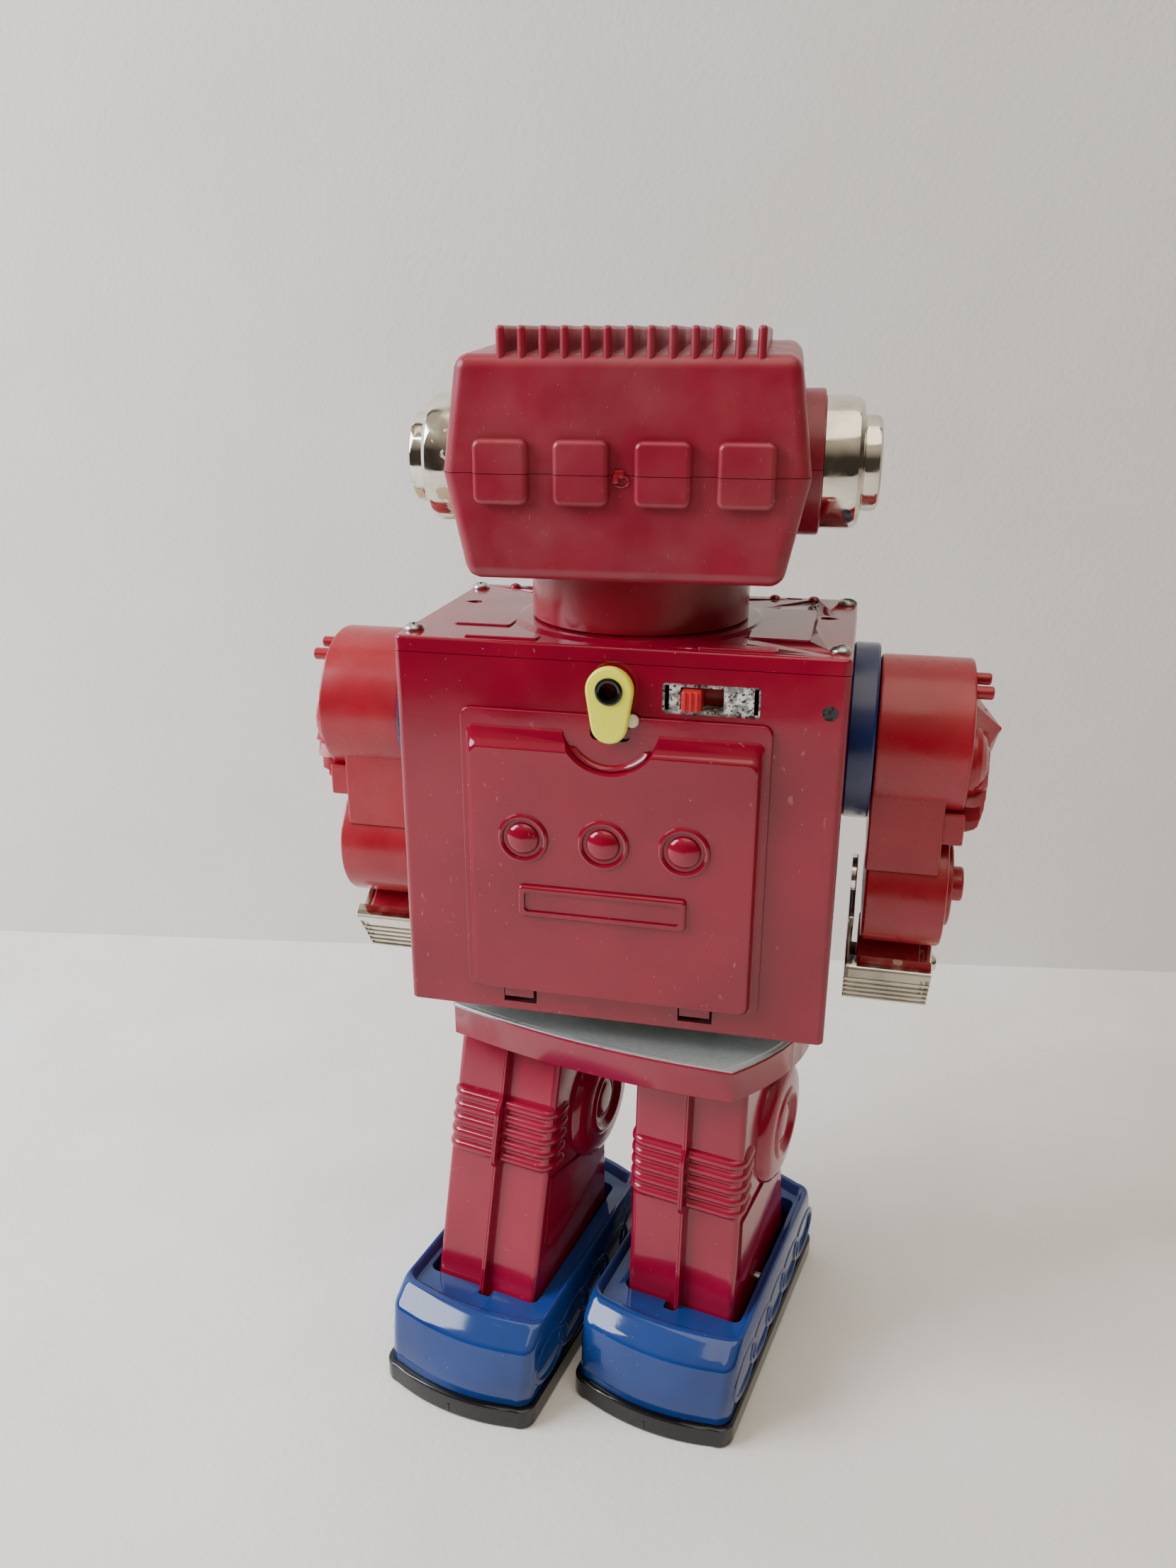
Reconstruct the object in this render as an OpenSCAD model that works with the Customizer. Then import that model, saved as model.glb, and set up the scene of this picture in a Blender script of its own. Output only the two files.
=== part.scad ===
// Large tin and plastic walking robot with a turning waist, battery driven.
// Millimetres, +Z up, the robot faces -Y. "Left" and "right" are the robot's own.

/* [Stance] */
// Turn of the body on the hips
torso_turn = 11.8; // [0:0.1:30]
// Further turn of the head on the body
head_turn = 3.2; // [0:0.1:30]
// Swing of each leg from upright, left back and right forward
stride_angle = 5.9; // [3:0.1:5.9]

/* [Hips] */
// Width of the hip box across its rear corners
pelvis_w = 114; // [112:1:118]
// Depth of the hip box at its corners
pelvis_d = 93; // [92:1:96]
// Bulge of each side of the hip box
pelvis_side_bulge = 15.8; // [12:0.1:18]
// Bulge of the front and the rear of the hip box
pelvis_end_bulge = 4.5; // [3:0.1:6]
// Height of the hip box's lower edge
pelvis_bottom = 138.2; // [137:0.1:139]
// Height of the hip box's top
pelvis_top = 151.5; // [151:0.1:152]

/* [Legs] */
// Distance of each leg from the middle
leg_x = 37.5; // [37:0.1:38]
// Half the width of a leg
leg_half_w = 22.2; // [21:0.1:22.5]
// Height of the hip axle
hip_z = 143; // [142.5:0.1:143.5]
// Place of the hip axle behind the waist
hip_y = 16; // [15:0.5:17]
// Length of a leg from the hip axle to the ankle
leg_len = 117; // [116:0.5:118]
// Radius of the knee disc
knee_r = 27; // [25:0.5:28]

/* [Shoes] */
// Distance of each shoe from the middle
shoe_x = 36.3; // [36:0.1:36.6]
// Half the width of a sole
sole_half_w = 33; // [32:0.1:33.2]
// Length of a sole at its corners
sole_len = 123.5; // [120:0.5:126]
// Distance of the heel's corners behind the ankle
heel = 65; // [63:0.5:66]
// Bulge of the heel
heel_bulge = 4.1; // [3:0.1:6]
// Height of the rim round the shoe's top
shoe_h = 39; // [38:0.5:40]

/* [Body] */
// Width of the body
torso_w = 153.8; // [152:0.2:156]
// Depth of the body
torso_d = 97.6; // [96:0.2:98]
// Height of the body's lower edge
torso_bottom = 161.4; // [161:0.1:162]
// Height of the lid's lower edge
lid_bottom = 295.9; // [295:0.1:297]
// Height of the lid's top
lid_top = 301.4; // [301:0.1:302]
// Thickness of the pressed tinplate
tin = 1; // [0.8:0.1:1.2]

/* [Battery door] */
// Half the width of the door's flange
door_half_w = 53.4; // [52:0.2:54]
// Height of the door's lower edge
door_bottom = 171; // [170:0.5:172]
// Height of the door's upper edge
door_top = 278.2; // [276:0.2:279]
// How far the door's panel stands out
door_proud = 5; // [4:0.5:6]

/* [Arms] */
// Height of the shoulder axis
shoulder_z = 262.5; // [260:0.5:264]
// Place of the shoulder axis in front of the waist
shoulder_y = -4.9; // [-6:0.1:-4]
// Radius of the shoulder drum
shoulder_r = 28.2; // [27:0.1:29]
// Radius of the shoulder ring
ring_r = 31.9; // [31:0.1:32]
// Height of the wrist drum's axis
wrist_z = 205; // [204:0.5:206]
// Radius of the wrist drum
wrist_r = 24; // [23:0.5:24]
// Forward tilt of the hand
hand_tilt = 35; // [30:1:38]

/* [Head] */
// Half the width of the head along its top
head_top_w = 50.2; // [49:0.1:51]
// Half the width of the head at its seam
head_mid_w = 57.8; // [57:0.1:58]
// Half the width of the head along its bottom
head_bot_w = 50.6; // [49:0.1:51]
// Height of the head's bottom
head_bottom = 323; // [322:0.5:324]
// Height of the head's seam
head_seam = 356.5; // [355:0.5:358]
// Height of the head's top along the rear edge
head_top = 391.7; // [390:0.1:393]
// Half the depth of the head
head_half_d = 52.5; // [51:0.5:53]
// Height of the fins' tops
fin_top = 400; // [398:0.5:401]
// Radius of the neck
neck_r = 39; // [38:0.5:40]
// Number of fins on the head
fins = 13; // [9:1:13]

/* [Hidden] */

$fn = 64;
waist_x = -1.45;
waist_y = -15.73;
ankle_shift = leg_len * sin(stride_angle);
ankle_z = hip_z - leg_len * cos(stride_angle);
run_fit = 0.05;
gap = 0.3;

// Colours of the finishes
red_tin = "#9c1c30";
red_plastic = "#b3262e";
dull_red = "#7d2030";
blue_tin = "#1d4a94";
navy = "#1d2f66";
black = "#1b1b1d";
steel = "#a9adb0";
chrome = "#d9d9dc";
yellow = "#f0ee7a";
brass = "#b99a4a";
cream = "#e8e2cf";

// ---------------------------------------------------------------- frames

// Hips: on the waist axis, square to the row.
module at_hips() {
    translate([waist_x, waist_y, 0]) children();
}

// Body: turned on the waist axis.
module at_torso() {
    at_hips() rotate([0, 0, torso_turn]) children();
}

// Head: turned further on the same axis.
module at_head() {
    at_torso() rotate([0, 0, head_turn]) children();
}

// One side of the body, +X outwards. side is 1 for left, -1 for right.
module at_side(side) {
    mirror([side < 0 ? 1 : 0, 0, 0]) children();
}

// A leg: on the hip axle at the leg's middle, swung to its place in the stride.
module at_leg(side) {
    at_hips() translate([side * leg_x, hip_y, hip_z]) rotate([side * stride_angle, 0, 0]) children();
}

// A shoe: under its ankle, on the ground.
module at_shoe(side) {
    at_hips() translate([side * shoe_x, hip_y + side * ankle_shift, 0]) children();
}

// A child drawn along +Z turned to lie along +X.
module along_x() {
    rotate([0, 90, 0]) children();
}

// A child drawn along +Z turned to point to the rear.
module to_rear() {
    rotate([-90, 0, 0]) children();
}

// ---------------------------------------------------------------- shared shapes

// Box from one corner to the other.
module block(low, high) {
    translate(low) cube(high - low);
}

// Upright box with round vertical edges, exact.
module round_box(half_w, half_d, r, z0, z1) {
    block([-half_w + r, -half_d, z0], [half_w - r, half_d, z1]);
    block([-half_w, -half_d + r, z0], [half_w, half_d - r, z1]);
    for (x = [-1, 1], y = [-1, 1])
        translate([x * (half_w - r), y * (half_d - r), z0]) cylinder(r = r, h = z1 - z0);
}

// Tube along +Z.
module tube(r, hole_r, h) {
    difference() {
        cylinder(r = r, h = h);
        translate([0, 0, -1]) cylinder(r = hole_r, h = h + 2);
    }
}

// Spur gear with flat-topped teeth, along +Z.
module gear(r, teeth, h, tooth_h = 1.4) {
    step = 360 / teeth;
    root = r - tooth_h;
    linear_extrude(h) polygon([for (i = [0:teeth - 1]) each [
        root * [cos(i * step - 0.30 * step), sin(i * step - 0.30 * step)],
        r * [cos(i * step - 0.14 * step), sin(i * step - 0.14 * step)],
        r * [cos(i * step + 0.14 * step), sin(i * step + 0.14 * step)],
        root * [cos(i * step + 0.30 * step), sin(i * step + 0.30 * step)]]]);
}

// Points of an arc round a centre.
function arc(cx, cy, r, a0, a1, n) =
    [for (i = [0:n]) let (a = a0 + (a1 - a0) * i / n) [cx + r * cos(a), cy + r * sin(a)]];

// ---------------------------------------------------------------- hips

// Outline of the hip box: bulged sides, shallow bulged ends, sharp corners.
function pelvis_outline(inset) =
    let (hw = pelvis_w / 2 - inset, hd = pelvis_d / 2 - inset, n = 10)
    concat(
        [for (i = [0:n]) let (t = -1 + 2 * i / n)
            [hw + pelvis_side_bulge * (1 - t * t), hd * t]],
        [for (i = [1:n]) let (t = 1 - 2 * i / n)
            [hw * t, hd + pelvis_end_bulge * (1 - t * t)]],
        [for (i = [1:n]) let (t = 1 - 2 * i / n)
            [-hw - pelvis_side_bulge * (1 - t * t), hd * t]],
        [for (i = [1:n - 1]) let (t = -1 + 2 * i / n)
            [hw * t, -hd - pelvis_end_bulge * (1 - t * t)]]);

// Painted band of the hip box, open below for the legs.
module pelvis_shell() {
    color(red_tin) at_hips() difference() {
        translate([0, 0, pelvis_bottom])
            linear_extrude(pelvis_top - tin - pelvis_bottom) polygon(pelvis_outline(0));
        translate([0, 0, pelvis_bottom - 1])
            linear_extrude(pelvis_top - pelvis_bottom + 1) polygon(pelvis_outline(tin));
    }
}

// Bare tinplate top, with the hole that the waist post stands in.
module pelvis_top_plate() {
    color(steel) at_hips() difference() {
        translate([0, 0, pelvis_top - tin]) linear_extrude(tin) polygon(pelvis_outline(0));
        translate([0, 0, pelvis_top - tin - 1]) cylinder(r = post_r - 2, h = tin + 2);
    }
}

post_r = 9;
post_bore_r = 3.05;
shaft_r = 3;
turntable_r = 24;

// Fixed gear that the body turns itself round on, with its hollow post.
module turntable_gear() {
    color(cream) at_hips() difference() {
        union() {
            translate([0, 0, pelvis_top]) cylinder(r = turntable_r - 3, h = 1.2);
            translate([0, 0, pelvis_top + 1.2]) gear(turntable_r - 0.2, 40, 3.8);
            translate([0, 0, pelvis_top]) cylinder(r = post_r, h = 15.2);
            translate([0, 0, pelvis_top + 15.2]) cylinder(r = post_r + 2.5, h = 1.3);
            translate([0, 0, pelvis_top - tin]) cylinder(r = post_r - 2, h = tin);
        }
        translate([0, 0, pelvis_top - 5]) cylinder(r = post_bore_r, h = 30);
    }
}

crank_y = -10.6;
crank_z = 144.2;
hip_axle_r = 2.5;
crank_axle_r = 2;
frame_x = 9;

// Steel bracket under the top plate: two cheeks that carry the hip axle and the crank axle.
module hip_frame() {
    plate_z = pelvis_top - tin;
    color(steel) at_hips() difference() {
        union() {
            for (s = [-1, 1])
                block([s * frame_x - 0.8, crank_y - 6, pelvis_bottom + 1.5],
                    [s * frame_x + 0.8, hip_y + 6, plate_z]);
            block([-frame_x - 0.8, hip_y + 0, plate_z - 1.2], [frame_x + 0.8, hip_y + 6, plate_z]);
        }
        translate([-20, hip_y, hip_z]) along_x() cylinder(r = hip_axle_r, h = 40);
        translate([-20, crank_y, crank_z]) along_x() cylinder(r = crank_axle_r + run_fit, h = 40);
    }
}

// Hip axle with a spring clip outside each leg.
module hip_axle() {
    clip_x = leg_x + leg_half_w + gap;
    color(steel) at_hips() translate([0, hip_y, hip_z]) {
        translate([-clip_x - 3, 0, 0]) along_x() cylinder(r = hip_axle_r, h = 2 * clip_x + 6);
        for (s = [-1, 1])
            translate([s > 0 ? clip_x : -clip_x - 1, 0, 0]) along_x() cylinder(r = 5, h = 1);
    }
}

worm_r = 4.4;
worm_wheel_r = 5.8;

// Crank axle: worm wheel in the middle and a crank disc with its pin beside each leg.
module crank_axle() {
    disc_x = frame_x + 1.4;
    color(brass) at_hips() translate([0, crank_y, crank_z]) {
        translate([-disc_x, 0, 0]) along_x() cylinder(r = crank_axle_r, h = 2 * disc_x);
        translate([-2.5, 0, 0]) along_x() gear(worm_wheel_r, 16, 5, 0.9);
        for (s = [-1, 1]) {
            translate([s > 0 ? disc_x : -disc_x - 1.6, 0, 0]) along_x() cylinder(r = 5, h = 1.6);
            translate([s > 0 ? disc_x + 1.6 : -disc_x - 2.8, 0, s * 3])
                along_x() cylinder(r = 1.2, h = 1.2);
        }
    }
}

// ---------------------------------------------------------------- legs

// Points of the leg's side, without the knee disc: Y across, Z up, from the hip axle.
rear_top_y = 17.8;
rear_bottom_y = 37.2;
leg_top = 4;
leg_bottom = -121;
knee_y = -19;
knee_z = -48;
knee_proud = 4.6;

// Place of the leg's rear face at a height.
function rear_y(z) = rear_top_y + (rear_bottom_y - rear_top_y) * (leg_top - z) / (leg_top - leg_bottom);

module leg_side(inset) {
    polygon([
        [rear_y(leg_top) - inset, leg_top - inset], [-14 + inset, leg_top - inset],
        [-29 + inset, -25], [-31 + inset, -71], [-33 + inset, -86], [-37.5 + inset, leg_bottom + inset],
        [rear_y(leg_bottom) - inset, leg_bottom + inset]]);
    translate([knee_y, knee_z]) circle(r = knee_r - inset);
}

// Extrudes a side view, Y across and Z up, along +X.
module side_extrude(h) {
    rotate([90, 0, 90]) linear_extrude(h) children();
}

rib_r = 2.4;
rib_pitch = 5.3;
rib_top = -36.5;
flange_out = 3.6;

// Half of a leg: a pressed tray with knee disc, ribs and seam flange; +X is its outside.
module leg_half() {
    difference() {
        union() {
            side_extrude(leg_half_w) leg_side(0);
            translate([leg_half_w, knee_y, knee_z]) along_x()
                cylinder(r1 = knee_r - 1, r2 = knee_r - 8, h = knee_proud);
            translate([leg_half_w + knee_proud, knee_y, knee_z]) along_x() tube(13, 10.5, 0.8);
            for (i = [0:4]) {
                z = rib_top - i * rib_pitch;
                translate([0.7, rear_y(z) - 0.7, z]) along_x() cylinder(r = rib_r, h = leg_half_w);
                translate([leg_half_w - 1.2, rear_y(z) - 0.7, z]) rotate([50, 0, 0])
                    cylinder(r = rib_r, h = 12);
            }
            side_extrude(0.7) polygon([
                [rear_y(leg_top - 8), leg_top - 8], [rear_y(leg_top - 8) + flange_out, leg_top - 10],
                [rear_y(leg_bottom) + flange_out, leg_bottom + 2], [rear_y(leg_bottom), leg_bottom]]);
        }
        translate([-1, 0, 0]) side_extrude(leg_half_w - tin + 1) leg_side(tin);
        translate([leg_half_w - tin - 0.01, knee_y, knee_z]) along_x()
            cylinder(r1 = knee_r - 2, r2 = knee_r - 9, h = knee_proud);
        translate([-1, 0, 0]) along_x() cylinder(r = hip_axle_r + run_fit, h = leg_half_w + 2);
        translate([-1, 0, -leg_len]) along_x() cylinder(r = ankle_r + run_fit, h = leg_half_w + 2);
    }
}

ankle_r = 2;

// Outer half of a leg.
module leg_outer(side) {
    color(red_tin) at_leg(side) at_side(side) leg_half();
}

// Inner half of a leg.
module leg_inner(side) {
    color(red_tin) at_leg(side) at_side(-side) leg_half();
}

// Pin that joins a leg to its shoe.
module ankle_pin(side) {
    color(steel) at_hips() translate([side * leg_x, hip_y + side * ankle_shift, ankle_z])
        translate([-27.5, 0, 0]) along_x() cylinder(r = ankle_r, h = 55);
}

// ---------------------------------------------------------------- shoes

// Shoe outline: round corners and bulged ends. rear and front are at the corners.
function shoe_outline(half_w, rear, front, r, rear_bulge, front_bulge) =
    let (n = 4, m = 8, mid = half_w - r)
    concat(
        arc(half_w - r, rear - r, r, 0, 90, n),
        [for (i = [1:m - 1]) let (t = 1 - 2 * i / m) [mid * t, rear + rear_bulge * (1 - t * t)]],
        arc(r - half_w, rear - r, r, 90, 180, n),
        arc(r - half_w, r - front, r, 180, 270, n),
        [for (i = [1:m - 1]) let (t = 2 * i / m - 1) [mid * t, -front - front_bulge * (1 - t * t)]],
        arc(half_w - r, r - front, r, 270, 360, n));

slice_h = 0.25;
sole_h = 9;
bevel_z = 32;
pan_z = 35;
toe_bulge = 6;
slot_half_w = 24.4;
slot_shift = 2.2;
toe = sole_len - heel;

// Outline of the sole, shrunk by inset.
function sole_outline(inset) =
    shoe_outline(sole_half_w - inset, heel - inset, toe - inset, 6.5, heel_bulge, toe_bulge);

// Thin slice of the shoe, its ends drawn in from the sole's, shrunk by off.
module shoe_slice(z, inset, heel_inset, toe_inset, bulge, off, h = slice_h) {
    translate([0, 0, z]) linear_extrude(h)
        polygon(shoe_outline(sole_half_w - inset - off, heel - heel_inset - off, toe - toe_inset - off,
            5.5, bulge, toe_bulge));
}

// Outside of a shoe, or its inside at a distance off.
module shoe_body(off) {
    hull() {
        shoe_slice(sole_h, 1.7, 2.2, 2, 3.6, off);
        shoe_slice(bevel_z, 1.1, 6, 4.5, 3.1, off);
    }
    hull() {
        shoe_slice(bevel_z, 1.1, 6, 4.5, 3.1, off);
        shoe_slice((off > 0 ? pan_z - tin : shoe_h) - slice_h, 1.6, 13.6, 7.5, 3, off);
    }
}

// Pressed and painted shoe with a sunk top and the slot that the leg moves in.
module shoe_shell(side) {
    color(blue_tin) at_shoe(side) difference() {
        shoe_body(0);
        shoe_body(tin + 0.4);
        shoe_slice(sole_h - 1, 1.7, 2.2, 2, 3.6, tin + 0.4, 1.1);
        translate([0, 0, pan_z]) linear_extrude(10)
            polygon(shoe_outline(sole_half_w - 4.3, heel - 18.5, toe - 12, 4, 2.5, toe_bulge));
        translate([side * slot_shift, 0, pan_z - 12]) {
            block([-slot_half_w, -43, 0], [slot_half_w, 36.6, 20]);
            block([-side - 2.6, 36, 0], [-side + 2.6, 41, 20]);
        }
    }
}

roller_r = 8;
roller_half_w = 4;
roller_z = roller_r + 0.05;
roller_axle_r = 1.5;

// Moulded sole: tray with a raised rim, wells for the roller, and the ankle bearing blocks.
module shoe_sole(side) {
    color(black) at_shoe(side) difference() {
        union() {
            linear_extrude(sole_h) polygon(sole_outline(0));
            linear_extrude(sole_h + 2.5) polygon(sole_outline(4.8));
        }
        translate([0, 0, 2.5]) linear_extrude(sole_h + 1) polygon(sole_outline(6.8));
        block([-6, roller_y - 11, -1], [6, roller_y + 11, 10]);
        translate([-12, roller_y, roller_z]) along_x()
            cylinder(r = roller_axle_r + run_fit, h = 24);
    }
    color(black) at_shoe(side) for (s = [-1, 1]) difference() {
        block([s * 8.5 - 2, roller_y - 5, 2], [s * 8.5 + 2, roller_y + 5, roller_z + 4]);
        translate([-12, roller_y, roller_z]) along_x()
            cylinder(r = roller_axle_r + run_fit, h = 24);
    }
    color(black) at_shoe(side) at_side(side) difference() {
        union() {
            block([-29, -5, 2], [-22.4, 5, ankle_z + 4]);
            block([24.8, -5, 2], [29, 5, ankle_z + 4]);
        }
        translate([-40, 0, ankle_z]) along_x() cylinder(r = ankle_r, h = 80);
    }
}

roller_y = -34;

// Roller under the toe, with its axle.
module roller(side) {
    color(steel) at_shoe(side) translate([0, roller_y, roller_z]) {
        translate([-roller_half_w, 0, 0]) along_x() cylinder(r = roller_r, h = 2 * roller_half_w);
        translate([-10.2, 0, 0]) along_x() cylinder(r = roller_axle_r, h = 20.4);
    }
}

// ---------------------------------------------------------------- body

half_w = torso_w / 2;
half_d = torso_d / 2;
corner_r = 2.5;
latch_x = 0.5;
latch_z = 287.6;
eyelet_r = 4;
switch_low = [-48.7, 280];
switch_high = [-16.5, 290.5];
chest_half_w = 46;
chest_low = 190;
chest_high = 268;
hinge_y = half_d - 0.5;
hinge_z = 168.2;
tab_x = [34, -31];
stub_r = 8;
screw_x = 72.8;
screw_y = 38.6;
screw_r = 1.5;

// Wrap-round tin wall of the body with its openings.
module torso_shell() {
    color(red_tin) at_torso() difference() {
        union() {
            difference() {
                round_box(half_w, half_d, corner_r, torso_bottom, lid_bottom);
                translate([0, 0, -1])
                    round_box(half_w - tin, half_d - tin, corner_r - tin, torso_bottom, lid_bottom + 2);
            }
            for (x = [-1, 1], y = [-1, 1])
                translate([x * (screw_x - 0.5), y * (screw_y + 2), lid_bottom - 3])
                    block([-3.5, -7, 0], [3.5, 7, 1.2]);
        }
        block([-48, half_d - 5, door_bottom + 5], [48, half_d + 5, door_top - 8]);
        block([switch_low[0], half_d - 5, switch_low[1]], [switch_high[0], half_d + 5, switch_high[1]]);
        block([-chest_half_w, -half_d - 5, chest_low], [chest_half_w, -half_d + 5, chest_high]);
        for (x = tab_x)
            block([x - 6.2, half_d - 5, hinge_z - 3.4], [x + 6.2, half_d + 5, hinge_z + 2.2]);
        translate([latch_x, half_d - 5, latch_z]) to_rear() cylinder(r = eyelet_r, h = 10);
        translate([-90, shoulder_y, shoulder_z]) along_x() cylinder(r = stub_r + run_fit, h = 180);
        for (x = [-1, 1], y = [-1, 1])
            translate([x * screw_x, y * screw_y, lid_bottom - 5]) cylinder(r = screw_r, h = 6);
    }
}

neck_hole_r = 30;

// Lid with a shallow raised ring round the neck hole, screwed down at its corners.
module torso_lid() {
    color(red_tin) at_torso() difference() {
        union() {
            difference() {
                round_box(half_w - 0.1, half_d - 0.1, corner_r, lid_bottom + 0.15, lid_top);
                round_box(half_w - tin - 0.1, half_d - tin - 0.1, corner_r - tin, lid_bottom - 1, lid_top - tin);
            }
            translate([0, 0, lid_top - tin]) cylinder(r = neck_r + 4, h = tin + 1.2);
            for (s = [-1, 1])
                block([s * 58 - 0.8, -34, lid_top - 0.5], [s * 58 + 0.8, 40, lid_top + 0.7]);
        }
        translate([0, 0, lid_bottom - 1]) cylinder(r = neck_hole_r + run_fit, h = 20);
        translate([0, 0, lid_bottom - 1]) cylinder(r = neck_r + 3, h = lid_top - tin - lid_bottom + 1);
        for (x = [-1, 1], y = [-1, 1])
            translate([x * screw_x, y * screw_y, lid_bottom - 1]) cylinder(r = screw_r, h = 12);
    }
}

// Four pan-head screws of the lid.
module lid_screws() {
    color(steel) at_torso() for (x = [-1, 1], y = [-1, 1])
        translate([x * screw_x, y * screw_y, lid_top]) difference() {
            union() {
                intersection() {
                    translate([0, 0, -2.4]) sphere(r = 4.7);
                    cylinder(r = 3.6, h = 3);
                }
                translate([0, 0, -10]) cylinder(r = screw_r, h = 10.5);
            }
            block([-3, -0.4, 1.5], [3, 0.4, 4]);
            block([-0.4, -3, 1.5], [0.4, 3, 4]);
        }
}

bearing_r = 13;
pinion_x = -31;

// Floor of the body, which the waist bearing is set in.
module torso_base() {
    color(steel) at_torso() difference() {
        round_box(half_w - tin - 0.1, half_d - tin - 0.1, corner_r - tin, torso_bottom + 0.6, torso_bottom + 1.8);
        cylinder(r = bearing_r, h = 200);
        translate([pinion_x, 0, 0]) cylinder(r = 2.5, h = 200);
    }
}

// Flanged bush that turns on the waist post.
module waist_bearing() {
    color(brass) at_torso() difference() {
        union() {
            translate([0, 0, torso_bottom + 0.6]) cylinder(r = bearing_r, h = 4.3);
            translate([0, 0, torso_bottom + 1.8]) cylinder(r = bearing_r + 3, h = 1.2);
        }
        cylinder(r = post_r + run_fit, h = 200);
    }
}

// ---------------------------------------------------------------- power

box_low = [-37, 12.2, 177.6];
box_high = [37, half_d - tin - 0.2, 269];
cell_r = 16.6;
cell_y = 30.2;

// Open battery box behind the door.
module battery_box() {
    color(cream) at_torso() difference() {
        block(box_low, box_high);
        block(box_low + [1.2, 1.2, 1.2], box_high + [-1.2, 1, -1.2]);
        for (z = [205, 241], s = [-1, 1])
            translate([s * 36, cell_y, z]) along_x() cylinder(r = 2, h = 5, center = true);
    }
}

// Two large cells lying one above the other.
module battery_cells() {
    color(navy) at_torso() for (z = [205, 241]) translate([0, cell_y, z]) {
        translate([-29.5, 0, 0]) along_x() cylinder(r = cell_r, h = 57.5);
        translate([28, 0, 0]) along_x() cylinder(r = 4.5, h = 2);
    }
}

// Sprung and flat contacts at the ends of the cells.
module battery_contacts() {
    color(brass) at_torso() for (z = [205, 241]) translate([0, cell_y, z]) {
        translate([30.2, 0, 0]) along_x() cylinder(r = 6, h = 0.8);
        translate([31, 0, 0]) along_x() cylinder(r = 2, h = 6);
        for (i = [0:3])
            translate([-31 - i * 1.3, 0, 0]) along_x() tube(7 - i * 0.6, 5.6 - i * 0.6, 1.31);
        translate([-35.7, 0, 0]) along_x() cylinder(r = 5.2, h = 1);
        translate([-37, 0, 0]) along_x() cylinder(r = 2, h = 2.2);
    }
}

panel_half_w = 49.5;
panel_top = 272.8;
face_y = half_d + 0.3;
thumb_r = 15;
thumb_z = 274;
button_x = [30.5, 2, -26];
button_z = 233;

// Pressed battery door with its panel, thumb scoop, three round bosses and a bar.
module battery_door() {
    color(red_tin) at_torso() {
        difference() {
            union() {
                block([-door_half_w, face_y, door_bottom], [door_half_w, face_y + 1.2, door_top]);
                hull() {
                    block([-panel_half_w - 1.5, face_y, door_bottom + 0.5],
                        [panel_half_w + 1.5, face_y + 1.5, panel_top]);
                    block([-panel_half_w, face_y, door_bottom + 1.5],
                        [panel_half_w, half_d + door_proud, panel_top - 7.5]);
                }
            }
            block([-panel_half_w + 1, face_y - 1, door_bottom + 3],
                [panel_half_w - 1, half_d + door_proud - 1.2, panel_top - 9]);
            translate([latch_x, face_y + 1.2, thumb_z]) to_rear() cylinder(r = thumb_r, h = 10);
            block([latch_x - 7, face_y - 1, 268.4], [latch_x + 7, face_y + 3, door_top + 1]);
        }
        difference() {
            translate([latch_x, face_y, thumb_z]) to_rear() cylinder(r = thumb_r + 1.2, h = 1.2);
            block([latch_x - 20, face_y - 1, thumb_z - 9.5], [latch_x + 20, face_y + 5, thumb_z + 20]);
        }
        for (x = button_x) translate([x, half_d + door_proud, button_z]) to_rear() {
            rotate_extrude() translate([7, 0]) circle(r = 1.1);
            intersection() {
                translate([0, 0, -3.6]) sphere(r = 5.8);
                cylinder(r = 5, h = 5);
            }
        }
        block([-27.5, half_d + door_proud - 0.5, 204], [32.5, half_d + door_proud + 1.2, 215]);
        for (x = tab_x) {
            translate([x - 5.5, hinge_y, hinge_z]) along_x() cylinder(r = 1.2, h = 11);
            block([x - 5.5, face_y, hinge_z - 0.6], [x + 5.5, face_y + 1.2, door_bottom + 1]);
            block([x - 5.5, hinge_y, hinge_z - 0.6], [x + 5.5, face_y + 1, hinge_z + 0.6]);
        }
    }
}

latch_y = half_d + 2;

// Teardrop catch that turns on the eyelet.
module door_latch() {
    color(yellow) at_torso() translate([latch_x, latch_y, latch_z]) to_rear() difference() {
        hull() {
            cylinder(r = 8.1, h = 3, $fn = 32);
            translate([0, 12, 0]) cylinder(r = 6.2, h = 3, $fn = 32);
        }
        translate([0, 0, -1]) cylinder(r = eyelet_r + run_fit, h = 6);
    }
}

// Black tubular rivet that the catch turns on.
module latch_eyelet() {
    color(black) at_torso() translate([latch_x, half_d - 2.5, latch_z]) to_rear() difference() {
        union() {
            cylinder(r = eyelet_r, h = 8.6);
            translate([0, 0, 7.8]) cylinder(r = eyelet_r + 0.7, h = 0.8);
            translate([0, 0, 2.5]) cylinder(r = 6.4, h = 1.7);
            cylinder(r = 6.4, h = 1.4);
        }
        translate([0, 0, 1]) cylinder(r = 2.8, h = 10);
    }
}

slider_x = -26.4;
slider_z = 285.2;
slider_travel = 6.5;

// Zinc plate of the slide switch, with the body of the switch behind it.
module switch_plate() {
    color(steel) at_torso() difference() {
        union() {
            block([switch_low[0] - 3, half_d - tin - 1.1, switch_low[1] - 2],
                [switch_high[0] + 3, half_d - tin, switch_high[1] + 2]);
            block([-40, half_d - 12, 280.5], [-18, half_d - tin - 1.1, 290]);
        }
        block([slider_x - 3.6 - slider_travel, half_d - 11, slider_z - 3.8],
            [slider_x + 3.6, half_d + 1, slider_z + 3.8]);
    }
}

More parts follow.
